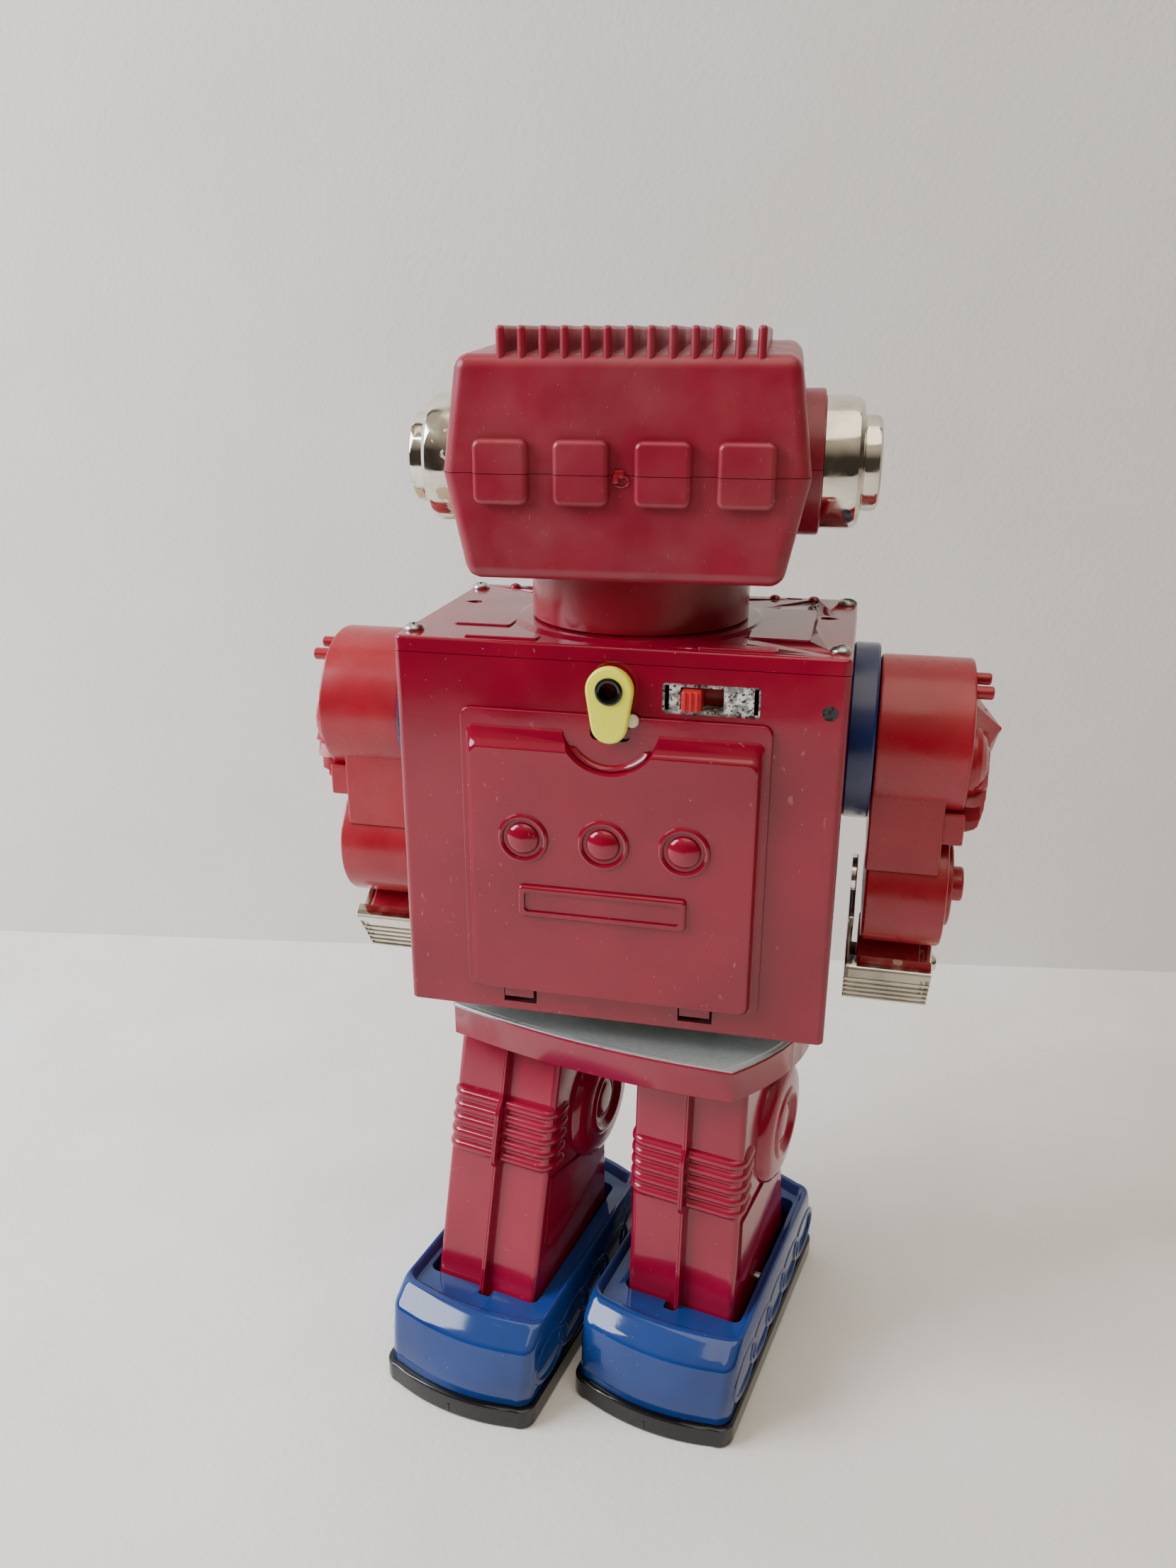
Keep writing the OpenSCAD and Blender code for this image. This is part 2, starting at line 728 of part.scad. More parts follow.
// Knob of the switch.
module switch_slider() {
    color("#e0202a") at_torso() {
        block([slider_x - 3.3, half_d - 8, slider_z - 3.4], [slider_x + 3.3, half_d + 3, slider_z + 3.4]);
        for (i = [-1:1])
            block([slider_x + i * 2 - 0.4, half_d + 3, slider_z - 3.4],
                [slider_x + i * 2 + 0.4, half_d + 3.5, slider_z + 3.4]);
    }
}

// ---------------------------------------------------------------- drive

plate_low = 170;
plate_high = 193;
arbor_r = 1.5;
motor_xy = [50, -6];
first_xy = [32.5, -6];
second_xy = [15.5, -6];
motor_pinion_r = 3.5;
first_wheel_r = 14;
first_pinion_r = 4.5;
second_wheel_r = 12.5;
second_pinion_r = 6.2;
shaft_wheel_r = 10.4;

// Two plates and four pillars that hold the gear train.
module gearbox_frame() {
    color(steel) at_torso() difference() {
        union() {
            block([-57, -21, plate_low], [66, 10.5, plate_low + 1.2]);
            block([-57, -21, plate_high], [66, 10.5, plate_high + 1.2]);
            for (x = [-54, 63.5], y = [-18.5, 8])
                translate([x, y, torso_bottom + 1.8])
                    cylinder(r = 1.8, h = plate_high - torso_bottom - 1.8);
        }
        for (p = [first_xy, second_xy, [pinion_x, 0]])
            translate([p[0], p[1], 160]) cylinder(r = arbor_r + run_fit, h = 40);
        translate([0, 0, 160]) cylinder(r = shaft_r + run_fit, h = 40);
        translate([motor_xy[0], motor_xy[1], 190]) cylinder(r = 5, h = 10);
    }
}

// Can of the motor, standing on the upper plate.
module motor_case() {
    color(steel) at_torso() translate([motor_xy[0], motor_xy[1], plate_high + 1.2]) difference() {
        union() {
            cylinder(r = 13, h = 32);
            translate([0, 0, 32]) cylinder(r = 5, h = 2);
        }
        translate([0, 0, -1]) cylinder(r = 1 + run_fit, h = 40);
        translate([0, 0, 3]) cylinder(r = 12, h = 27);
    }
}

// Shaft of the motor with its winding and its pinion.
module motor_rotor() {
    color(brass) at_torso() translate([motor_xy[0], motor_xy[1], 0]) {
        translate([0, 0, 176]) cylinder(r = 1, h = 53);
        translate([0, 0, 177]) gear(motor_pinion_r - 0.2, 10, 7, 1);
        translate([0, 0, plate_high + 8]) cylinder(r = 9, h = 18);
    }
}

// A stepped gear on its arbor.
module stepped_gear(wheel_r, wheel_teeth, wheel_z, pinion_r, pinion_teeth, pinion_z, pinion_h) {
    translate([0, 0, plate_low - 1]) cylinder(r = arbor_r, h = plate_high - plate_low + 3);
    translate([0, 0, min(wheel_z, pinion_z)]) cylinder(r = 2.6, h = abs(pinion_z - wheel_z) + 3);
    translate([0, 0, wheel_z]) gear(wheel_r - 0.2, wheel_teeth, 3);
    translate([0, 0, pinion_z]) gear(pinion_r - 0.2, pinion_teeth, pinion_h, 1);
}

// First reduction gear.
module first_gear() {
    color(cream) at_torso() translate([first_xy[0], first_xy[1], 0])
        stepped_gear(first_wheel_r, 40, 179, first_pinion_r, 13, 182, 8);
}

// Second reduction gear.
module second_gear() {
    color(cream) at_torso() translate([second_xy[0], second_xy[1], 0])
        stepped_gear(second_wheel_r, 36, 184.5, second_pinion_r, 18, 172.5, 3.8);
}

// Upright shaft through the waist: gear above, worm below.
module drive_shaft() {
    color(steel) at_torso() {
        translate([0, 0, 139.5]) cylinder(r = shaft_r, h = plate_high + 2 - 139.5);
        translate([0, 0, 172.5]) gear(shaft_wheel_r - 0.2, 30, 3.8);
        for (i = [0:4])
            translate([0, 0, 140 + i * 2]) cylinder(r1 = shaft_r, r2 = worm_r, h = 1);
        for (i = [0:4])
            translate([0, 0, 141 + i * 2]) cylinder(r1 = worm_r, r2 = shaft_r, h = 1);
    }
}

// Pinion that walks round the fixed gear and turns the body, with its wheel in the gearbox.
module turning_pinion() {
    color(cream) at_torso() translate([pinion_x, 0, 0]) {
        translate([0, 0, pelvis_top + 1.4]) cylinder(r = arbor_r, h = plate_high + 2 - pelvis_top - 1.4);
        translate([0, 0, pelvis_top + 1.6]) gear(6.8, 12, 3.4);
        translate([0, 0, 172.5]) gear(20.3, 60, 3.4);
    }
}

// ---------------------------------------------------------------- chest

bay_depth = 22;
leaf_hinge_x = 47.4;
leaf_y = -half_d - 2.6;
pin_r = 1.2;

// Tray behind the chest doors.
module chest_bay() {
    color(black) at_torso() difference() {
        block([-chest_half_w - 2, -half_d + tin, chest_low - 2],
            [chest_half_w + 2, -half_d + tin + bay_depth, chest_high + 2]);
        block([-chest_half_w + 1, -half_d, chest_low + 1],
            [chest_half_w - 1, -half_d + tin + bay_depth - 1.5, chest_high - 1]);
    }
}

// Pair of round signal lamps on the back of the tray.
module chest_lamps() {
    lamp_y = -half_d + tin + bay_depth - 1.5;
    color("#d8353a") at_torso() for (x = [-20, 20]) translate([x, lamp_y, 238]) rotate([90, 0, 0]) {
        cylinder(r = 12, h = 4);
        translate([0, 0, 4]) cylinder(r1 = 10, r2 = 6, h = 6);
        translate([0, 0, 10]) sphere(r = 6);
    }
    color("#e8c84a") at_torso() for (x = [-24, -8, 8, 24])
        translate([x, lamp_y, 206]) rotate([90, 0, 0]) {
            cylinder(r = 5, h = 3);
            translate([0, 0, 4.1]) sphere(r = 4);
        }
}

// Door of the chest, hinged at its outer edge.
module chest_door(side) {
    color(red_tin) at_torso() at_side(side) difference() {
        union() {
            block([0.4, leaf_y - 0.6, chest_low - 1.5], [leaf_hinge_x - 1.6, leaf_y + 0.6, chest_high + 1.5]);
            block([6, leaf_y - 1.8, chest_low + 5], [leaf_hinge_x - 8, leaf_y + 0.6, chest_high - 5]);
            for (z = [chest_low + 2, chest_high - 12])
                translate([leaf_hinge_x, leaf_y, z]) cylinder(r = 2.2, h = 10);
            translate([3, leaf_y - 0.6, 229]) rotate([90, 0, 0]) cylinder(r = 2, h = 3);
        }
        block([7, leaf_y - 0.8, chest_low + 6], [leaf_hinge_x - 9, leaf_y + 2, chest_high - 6]);
        translate([leaf_hinge_x, leaf_y, chest_low - 5]) cylinder(r = pin_r + run_fit, h = 100);
    }
}

// Hinge pins of the chest doors in their brackets.
module chest_door_pins() {
    color(steel) at_torso() for (s = [-1, 1]) at_side(s) {
        translate([leaf_hinge_x, leaf_y, chest_low - 4]) cylinder(r = pin_r, h = chest_high - chest_low + 8);
        for (z = [chest_low - 4, chest_high + 2])
            block([leaf_hinge_x - 1.5, leaf_y - 1.2, z], [leaf_hinge_x + 3.5, -half_d, z + 2]);
    }
}

// ---------------------------------------------------------------- head

head_front_z = 396;
ridge_y = -8;
brow_z = 384;
wall = 2;

// Front view of the head, X across and Z up, shrunk by inset.
module head_front(inset) {
    polygon([
        [head_bot_w - inset, head_bottom + inset], [head_mid_w - inset, head_seam],
        [head_top_w - inset, 410], [-head_top_w + inset, 410],
        [-head_mid_w + inset, head_seam], [-head_bot_w + inset, head_bottom + inset]]);
}

// Side view of the head, Y across and Z up, shrunk by inset.
module head_side(inset) {
    polygon([
        [head_half_d - inset, head_bottom + inset], [head_half_d - inset, head_top - inset],
        [ridge_y, head_front_z - inset], [-head_half_d + inset + 4, brow_z - inset],
        [-head_half_d + inset, brow_z - 8], [-head_half_d + inset, head_bottom + inset]]);
}

// Solid of the head, shrunk by inset.
module head_solid(inset) {
    intersection() {
        translate([0, head_half_d + 10, 0]) rotate([90, 0, 0]) linear_extrude(2 * head_half_d + 20)
            head_front(inset);
        translate([-head_mid_w - 5, 0, 0]) side_extrude(2 * head_mid_w + 10) head_side(inset);
    }
}

square_w = 17.6;
square_pitch = 25.5;
square_z = 357;
fin_pitch = 6.6;
fin_shift = -1.4;
fin_t = 2.8;
ear_z = 356.8;
ear_r = 22;

// Hollow head without its parting.
module head_shell() {
    difference() {
        union() {
            head_solid(0);
            for (i = [-1.5:1.5])
                block([i * square_pitch - square_w / 2, head_half_d - 1, square_z - 10],
                    [i * square_pitch + square_w / 2, head_half_d + 2.4, square_z + 10]);
            for (s = [-1, 1])
                translate([s > 0 ? head_mid_w - 8 : -head_mid_w - 3.5, 0, ear_z]) along_x()
                    cylinder(r = ear_r + 2.2, h = 11.5);
        }
        head_solid(wall);
        translate([0, 0, head_bottom - 1]) cylinder(r = neck_r - 3, h = 5);
        block([-40, -head_half_d - 1, head_bottom + 10], [40, -head_half_d + 3, brow_z - 10]);
        translate([-80, 0, ear_z]) along_x() cylinder(r = ear_r - 8, h = 160);
    }
}

// Upper half of the head with the cooling fins.
module head_upper() {
    color(dull_red) at_head() {
        intersection() {
            head_shell();
            block([-80, -80, head_seam], [80, 80, 420]);
        }
        for (i = [0:fins - 1])
            translate([(i - (fins - 1) / 2) * fin_pitch + fin_shift - fin_t / 2, 0, 0]) side_extrude(fin_t)
                polygon([[head_half_d - 1.2, head_top - 1.2], [head_half_d - 1.2, fin_top - 2],
                    [head_half_d - 3.2, fin_top], [ridge_y + 2, fin_top], [ridge_y, fin_top - 2],
                    [ridge_y, head_front_z - 1.2]]);
    }
}

// Lower half of the head.
module head_lower() {
    color(dull_red) at_head() intersection() {
        head_shell();
        block([-80, -80, 300], [80, 80, head_seam]);
    }
}

// Neck: visible drum, with a spigot through the lid and a flange below it.
module neck_collar() {
    color(red_plastic) at_head() difference() {
        union() {
            translate([0, 0, lid_top + 1.2 + gap]) cylinder(r = neck_r, h = head_bottom - lid_top - 1.2 - gap);
            translate([0, 0, head_bottom]) cylinder(r = neck_r - 3, h = 5);
            translate([0, 0, lid_top - 5]) cylinder(r = neck_hole_r, h = 10);
            translate([0, 0, lid_top - 5]) cylinder(r = neck_hole_r + 4, h = 3.5);
        }
        translate([0, 0, lid_top - 6]) cylinder(r = neck_hole_r - 3, h = 60);
        translate([0, 0, lid_top + 4]) cylinder(r = neck_r - 5, h = 60);
    }
}

// Dark face plate with eye openings and a slotted mouth.
module face_visor() {
    color(black) at_head() difference() {
        union() {
            block([-42, -head_half_d + wall, head_bottom + 8], [42, -head_half_d + 4.5, brow_z - 8]);
            block([-39.5, -head_half_d + 0.5, head_bottom + 10.5], [39.5, -head_half_d + 4, brow_z - 10.5]);
        }
        for (s = [-1, 1])
            translate([s * 19, 0, 358]) rotate([90, 0, 0]) cylinder(r = 9, h = 80);
        for (i = [-3:3])
            block([i * 7 - 1.5, -70, 336], [i * 7 + 1.5, 0, 345]);
    }
}

// Two clear eye lenses.
module eye_lenses() {
    color("#e8d27a") at_head() for (s = [-1, 1])
        translate([s * 19, -head_half_d + 5, 358]) rotate([90, 0, 0]) {
            cylinder(r = 8.9, h = 5);
            translate([0, 0, 5]) cylinder(r1 = 8.9, r2 = 6, h = 2);
        }
}

// Plated ear: stepped drum with a smaller end disc and a spigot into the head.
module ear(side) {
    color(chrome) at_head() at_side(side) translate([head_mid_w + 3.5, 0, ear_z]) {
        along_x() cylinder(r = ear_r, h = 11);
        translate([11, 0, 0]) along_x() cylinder(r1 = ear_r, r2 = ear_r - 2.5, h = 2.2);
        translate([13.2, 0, 0]) along_x() cylinder(r = 15.8, h = 4.6);
        translate([17.8, 0, 0]) along_x() cylinder(r1 = 15.8, r2 = 14.6, h = 1.2);
        translate([-6, 0, 0]) along_x() cylinder(r = ear_r - 8, h = 6);
    }
}

// ---------------------------------------------------------------- arms

drum_in = 86.6;
drum_out = 118.9;
wrist_out = 116;

// A child in the hand's frame: Y along the rear normal, -Z along the hand, from the wrist axis.
module at_hand() {
    translate([0, shoulder_y, wrist_z]) rotate([-hand_tilt, 0, 0]) children();
}

// Navy ring between body and arm, fixed to the body.
module shoulder_ring(side) {
    color(navy) at_torso() at_side(side) translate([half_w, shoulder_y, shoulder_z]) along_x()
        tube(ring_r, stub_r + run_fit, drum_in - gap - half_w);
}

// Moulded arm: shoulder drum, elbow block, wrist drum and the fork that the hand is screwed to.
module arm(side) {
    color(red_plastic) at_torso() at_side(side) difference() {
        union() {
            translate([drum_in, shoulder_y, shoulder_z]) along_x() cylinder(r = shoulder_r, h = drum_out - drum_in);
            translate([73.4, shoulder_y, shoulder_z]) along_x() cylinder(r = stub_r, h = 14);
            translate([73.4, shoulder_y, shoulder_z]) along_x() cylinder(r = stub_r + 4, h = 2);
            block([drum_in, shoulder_y - 22, 216.5], [112.3, shoulder_y + 22, 246]);
            translate([drum_in + 0.6, shoulder_y, wrist_z]) along_x() cylinder(r = wrist_r, h = wrist_out - drum_in - 0.6);
            translate([wrist_out, shoulder_y, wrist_z]) along_x() cylinder(r = 16, h = 2.3);
            translate([wrist_out, shoulder_y, wrist_z]) along_x() cylinder(r = 6.5, h = 7);
            at_hand() block([drum_in, 6, -34], [110, 26, -17]);
        }
        translate([drum_in + 2, shoulder_y, shoulder_z]) along_x()
            cylinder(r = shoulder_r - 2, h = drum_out - drum_in - 4);
        translate([drum_in + 2.6, shoulder_y, wrist_z]) along_x()
            cylinder(r = wrist_r - 2, h = wrist_out - drum_in - 4.6);
        block([drum_in + 2, shoulder_y - 20, 218.5], [110.3, shoulder_y + 20, 244]);
        at_hand() block([drum_in + 3.5, 20, -31], [106, 30, -29.5]);
        at_hand() translate([112, 20, -27]) along_x() cylinder(r = 1.5, h = 12, center = true);
    }
}

badge_z = -12.5;
badge_y = -3;
badge_r = 23.5;
badge_teeth = 20;

// Toothed ornament on the shoulder with its faceted peak, dome and two pegs.
module shoulder_badge(side) {
    color(red_plastic) at_torso() at_side(side) translate([0, shoulder_y, shoulder_z]) {
        difference() {
            translate([113.6, badge_y, badge_z]) along_x() gear(badge_r, badge_teeth, 12.4, 3.4);
            translate([100, 0, 0]) along_x() cylinder(r = shoulder_r, h = drum_out - 100);
            translate([100, 0, wrist_z - shoulder_z]) along_x() cylinder(r = wrist_r + gap, h = wrist_out + gap - 100);
        }
        hull() {
            translate([drum_out, badge_y - 2, badge_z + 8]) along_x() cylinder(r = 24, h = 0.5, $fn = 6);
            translate([130.2, 0, 3]) along_x() cylinder(r = 0.6, h = 0.3, $fn = 6);
        }
        translate([drum_out, 10.5, -5]) along_x() cylinder(r1 = 13, r2 = 8, h = 6);
        translate([drum_out, 14.5, 20.5]) along_x() cylinder(r = 2.3, h = 5.6);
        translate([drum_out, 7.5, 23.6]) along_x() cylinder(r = 2.1, h = 5);
    }
}

// Plated claw: ribbed back, lower lip, upper lip and two cheeks, the inner one reaching the wrist.
module hand(side) {
    color(chrome) at_torso() at_side(side) at_hand() difference() {
        union() {
            block([82.4, 28.7, -41], [114.4, 31.5, -15]);
            block([82.4, 8, -41], [114.4, 31.5, -38.2]);
            block([82.4, 26.3, -17.5], [114.4, 31.5, -15]);
            for (i = [0:3])
                block([82.4, 31.4, -20 - i * 5.6], [114.4, 32.1, -17 - i * 5.6]);
            block([82.4, 8, -41], [84.4, 31.5, -15]);
            block([82.4, -6, -26], [84.4, 20, 2]);
            translate([82.4, 0, 0]) along_x() cylinder(r = 8, h = 2);
            block([112, 14, -41], [114.4, 31.5, -20]);
            block([110.2, 14, -33], [112.1, 31.5, -20.6]);
        }
        translate([111, 20, -27]) along_x() cylinder(r = 1.5, h = 10, center = true);
    }
}

// Screw that holds the hand.
module hand_screw(side) {
    color(chrome) at_torso() at_side(side) at_hand() translate([114.4, 20, -27]) {
        translate([-8, 0, 0]) along_x() cylinder(r = 1.5, h = 8.5);
        along_x() cylinder(r1 = 3.4, r2 = 2.2, h = 2.2);
    }
}

// ---------------------------------------------------------------- nodes

pelvis_shell();
pelvis_top_plate();
turntable_gear();
hip_frame();
hip_axle();
crank_axle();
leg_outer(1);  // left_leg_outer
leg_inner(1);  // left_leg_inner
leg_outer(-1);  // right_leg_outer
leg_inner(-1);  // right_leg_inner
ankle_pin(1);  // left_ankle_pin
ankle_pin(-1);  // right_ankle_pin
shoe_shell(1);  // left_shoe_shell
shoe_sole(1);  // left_shoe_sole
shoe_shell(-1);  // right_shoe_shell
shoe_sole(-1);  // right_shoe_sole
roller(1);  // left_roller
roller(-1);  // right_roller
torso_shell();
torso_lid();
torso_base();
waist_bearing();
lid_screws();
battery_box();
battery_cells();
battery_contacts();
battery_door();
door_latch();
latch_eyelet();
switch_plate();
switch_slider();
gearbox_frame();
motor_case();
motor_rotor();
first_gear();
second_gear();
drive_shaft();
turning_pinion();
chest_bay();
chest_lamps();
chest_door(1);  // left_chest_door
chest_door(-1);  // right_chest_door
chest_door_pins();
head_upper();
head_lower();
neck_collar();
face_visor();
eye_lenses();
ear(1);  // left_ear
ear(-1);  // right_ear
shoulder_ring(1);  // left_shoulder_ring
arm(1);  // left_arm
shoulder_badge(1);  // left_shoulder_badge
hand(1);  // left_hand
hand_screw(1);  // left_hand_screw
shoulder_ring(-1);  // right_shoulder_ring
arm(-1);  // right_arm
shoulder_badge(-1);  // right_shoulder_badge
hand(-1);  // right_hand
hand_screw(-1);  // right_hand_screw
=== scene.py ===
"""Looks of the tin and plastic walking robot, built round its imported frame.

Each piece is modelled in millimetres in the frame of the part of the body that
it belongs to, and then placed in metres where that part is.
"""

import logging
import math
from dataclasses import dataclass
from enum import Enum
from typing import Callable, Optional, Sequence, Union

import bpy
from mathutils import Matrix, Vector
from mathutils.kdtree import KDTree


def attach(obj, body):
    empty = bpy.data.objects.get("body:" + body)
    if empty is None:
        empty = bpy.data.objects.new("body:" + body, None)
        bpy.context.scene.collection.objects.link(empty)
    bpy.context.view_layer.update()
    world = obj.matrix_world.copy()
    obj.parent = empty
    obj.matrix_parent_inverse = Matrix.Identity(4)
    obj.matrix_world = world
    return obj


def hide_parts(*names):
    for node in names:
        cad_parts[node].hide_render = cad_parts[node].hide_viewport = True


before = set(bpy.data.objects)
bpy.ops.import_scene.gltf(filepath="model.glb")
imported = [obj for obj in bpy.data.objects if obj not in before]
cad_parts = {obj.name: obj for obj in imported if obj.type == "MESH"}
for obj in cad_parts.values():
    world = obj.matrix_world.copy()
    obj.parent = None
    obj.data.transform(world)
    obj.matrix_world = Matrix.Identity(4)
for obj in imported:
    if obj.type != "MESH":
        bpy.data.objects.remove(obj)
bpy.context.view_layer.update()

LOG = logging.getLogger("robot")
MM = 0.001
Pair = tuple[float, float]
Point = tuple[float, float, float]
Ring = list[Point]
Outline = Callable[[float], list[Pair]]


# ------------------------------------------------------------------ frames


class Side(Enum):
    """The robot's own left or right."""

    LEFT = 1
    RIGHT = -1

    @property
    def word(self) -> str:
        """Name used in the names of nodes and bodies."""
        return self.name.lower()


@dataclass(frozen=True)
class Stance:
    """Where each part of the body stands, as the CAD has it."""

    waist: Point = (-1.45, -15.73, 0.0)
    torso_turn: float = 11.8
    head_turn: float = 3.2
    stride: float = 5.9
    leg_x: float = 37.5
    hip_y: float = 16.0
    hip_z: float = 143.0
    leg_len: float = 117.0
    shoe_x: float = 36.3
    shoulder_y: float = -4.9
    wrist_z: float = 205.0
    hand_tilt: float = 35.0

    def hips(self) -> Matrix:
        """Frame of the hips."""
        return Matrix.Translation(self.waist)

    def torso(self) -> Matrix:
        """Frame of the turned body."""
        return self.hips() @ Matrix.Rotation(math.radians(self.torso_turn), 4, "Z")

    def head(self) -> Matrix:
        """Frame of the head, turned further than the body."""
        return self.torso() @ Matrix.Rotation(math.radians(self.head_turn), 4, "Z")

    def mirror(self, side: Side) -> Matrix:
        """Mirror that makes +X point outwards on a side."""
        return Matrix.Scale(side.value, 4, Vector((1, 0, 0)))

    def leg(self, side: Side) -> Matrix:
        """Frame of a leg, on the hip axle, with +X outwards.

        Args:
            side: Side of the robot.

        Returns:
            The frame.
        """
        at = Matrix.Translation((side.value * self.leg_x, self.hip_y, self.hip_z))
        swing = Matrix.Rotation(math.radians(side.value * self.stride), 4, "X")
        return self.hips() @ at @ swing @ self.mirror(side)

    def shoe(self, side: Side) -> Matrix:
        """Frame of a shoe, under its ankle, with +X outwards.

        Args:
            side: Side of the robot.

        Returns:
            The frame.
        """
        shift = self.leg_len * math.sin(math.radians(self.stride))
        at = (side.value * self.shoe_x, self.hip_y + side.value * shift, 0)
        return self.hips() @ Matrix.Translation(at) @ self.mirror(side)

    def arm(self, side: Side) -> Matrix:
        """Frame of an arm: the body's, with +X outwards."""
        return self.torso() @ self.mirror(side)

    def hand(self, side: Side) -> Matrix:
        """Frame of a hand: +Y along its rear normal, -Z along it.

        Args:
            side: Side of the robot.

        Returns:
            The frame.
        """
        at = Matrix.Translation((0, self.shoulder_y, self.wrist_z))
        tilt = Matrix.Rotation(math.radians(-self.hand_tilt), 4, "X")
        return self.arm(side) @ at @ tilt


STANCE = Stance()
# A flat piece drawn on X and Y with its front towards +Z, stood up on a face.
ON_REAR = Matrix(((1, 0, 0, 0), (0, 0, 1, 0), (0, 1, 0, 0), (0, 0, 0, 1)))
ON_FRONT = Matrix(((1, 0, 0, 0), (0, 0, -1, 0), (0, 1, 0, 0), (0, 0, 0, 1)))
ON_SIDE = Matrix(((0, 0, 1, 0), (1, 0, 0, 0), (0, 1, 0, 0), (0, 0, 0, 1)))


# ------------------------------------------------------------------ outlines


def arc(centre: Pair, r: float, start: float, end: float, steps: int) -> list[Pair]:
    """Points of an arc.

    Args:
        centre: Middle of the arc.
        r: Radius.
        start: First angle in degrees.
        end: Last angle in degrees.
        steps: Number of steps between them.

    Returns:
        The points, with both ends.
    """
    turns = [math.radians(start + (end - start) * i / steps) for i in range(steps + 1)]
    return [(centre[0] + r * math.cos(a), centre[1] + r * math.sin(a)) for a in turns]


def rounded(half_w: float, half_h: float, r: float, steps: int = 5) -> Outline:
    """Rectangle with round corners.

    Args:
        half_w: Half its width.
        half_h: Half its height.
        r: Radius of the corners.
        steps: Steps round each corner.

    Returns:
        A function that gives the outline at an inset.
    """

    def at(inset: float) -> list[Pair]:
        """Outline at an inset.

        Args:
            inset: How far inside, in millimetres.

        Returns:
            The points.
        """
        turn = max(r - inset, 0.05)
        x, y = half_w - inset - turn, half_h - inset - turn
        corners = ((x, y, 0), (-x, y, 90), (-x, -y, 180), (x, -y, 270))
        return [
            p for cx, cy, a in corners for p in arc((cx, cy), turn, a, a + 90, steps)
        ]

    return at


def shrunk(points: Sequence[Pair]) -> Outline:
    """Any outline, drawn anticlockwise.

    Args:
        points: Its points.

    Returns:
        A function that gives the outline at an inset, moved along its normals.
    """

    def at(inset: float) -> list[Pair]:
        """Outline at an inset.

        Args:
            inset: How far inside, in millimetres.

        Returns:
            The points.
        """
        out = []
        for i, p in enumerate(points):
            a, b = Vector(points[i - 1]), Vector(points[(i + 1) % len(points)])
            here = Vector(p)
            sides = [(here - a).normalized(), (b - here).normalized()]
            normals = [Vector((-s.y, s.x)) for s in sides]
            mean = normals[0] + normals[1]
            length = max(mean.length_squared / 2, 0.5)
            out.append(tuple(here + mean * (inset / length)))
        return out

    return at


def flat_ring(points: Sequence[Pair], z: float) -> Ring:
    """Outline lifted to a height."""
    return [(x, y, z) for x, y in points]


# ------------------------------------------------------------------ bench


class Ends(Enum):
    """How the ends of a loft are finished."""

    CAPPED = "capped"
    OPEN = "open"
    JOINED = "joined"


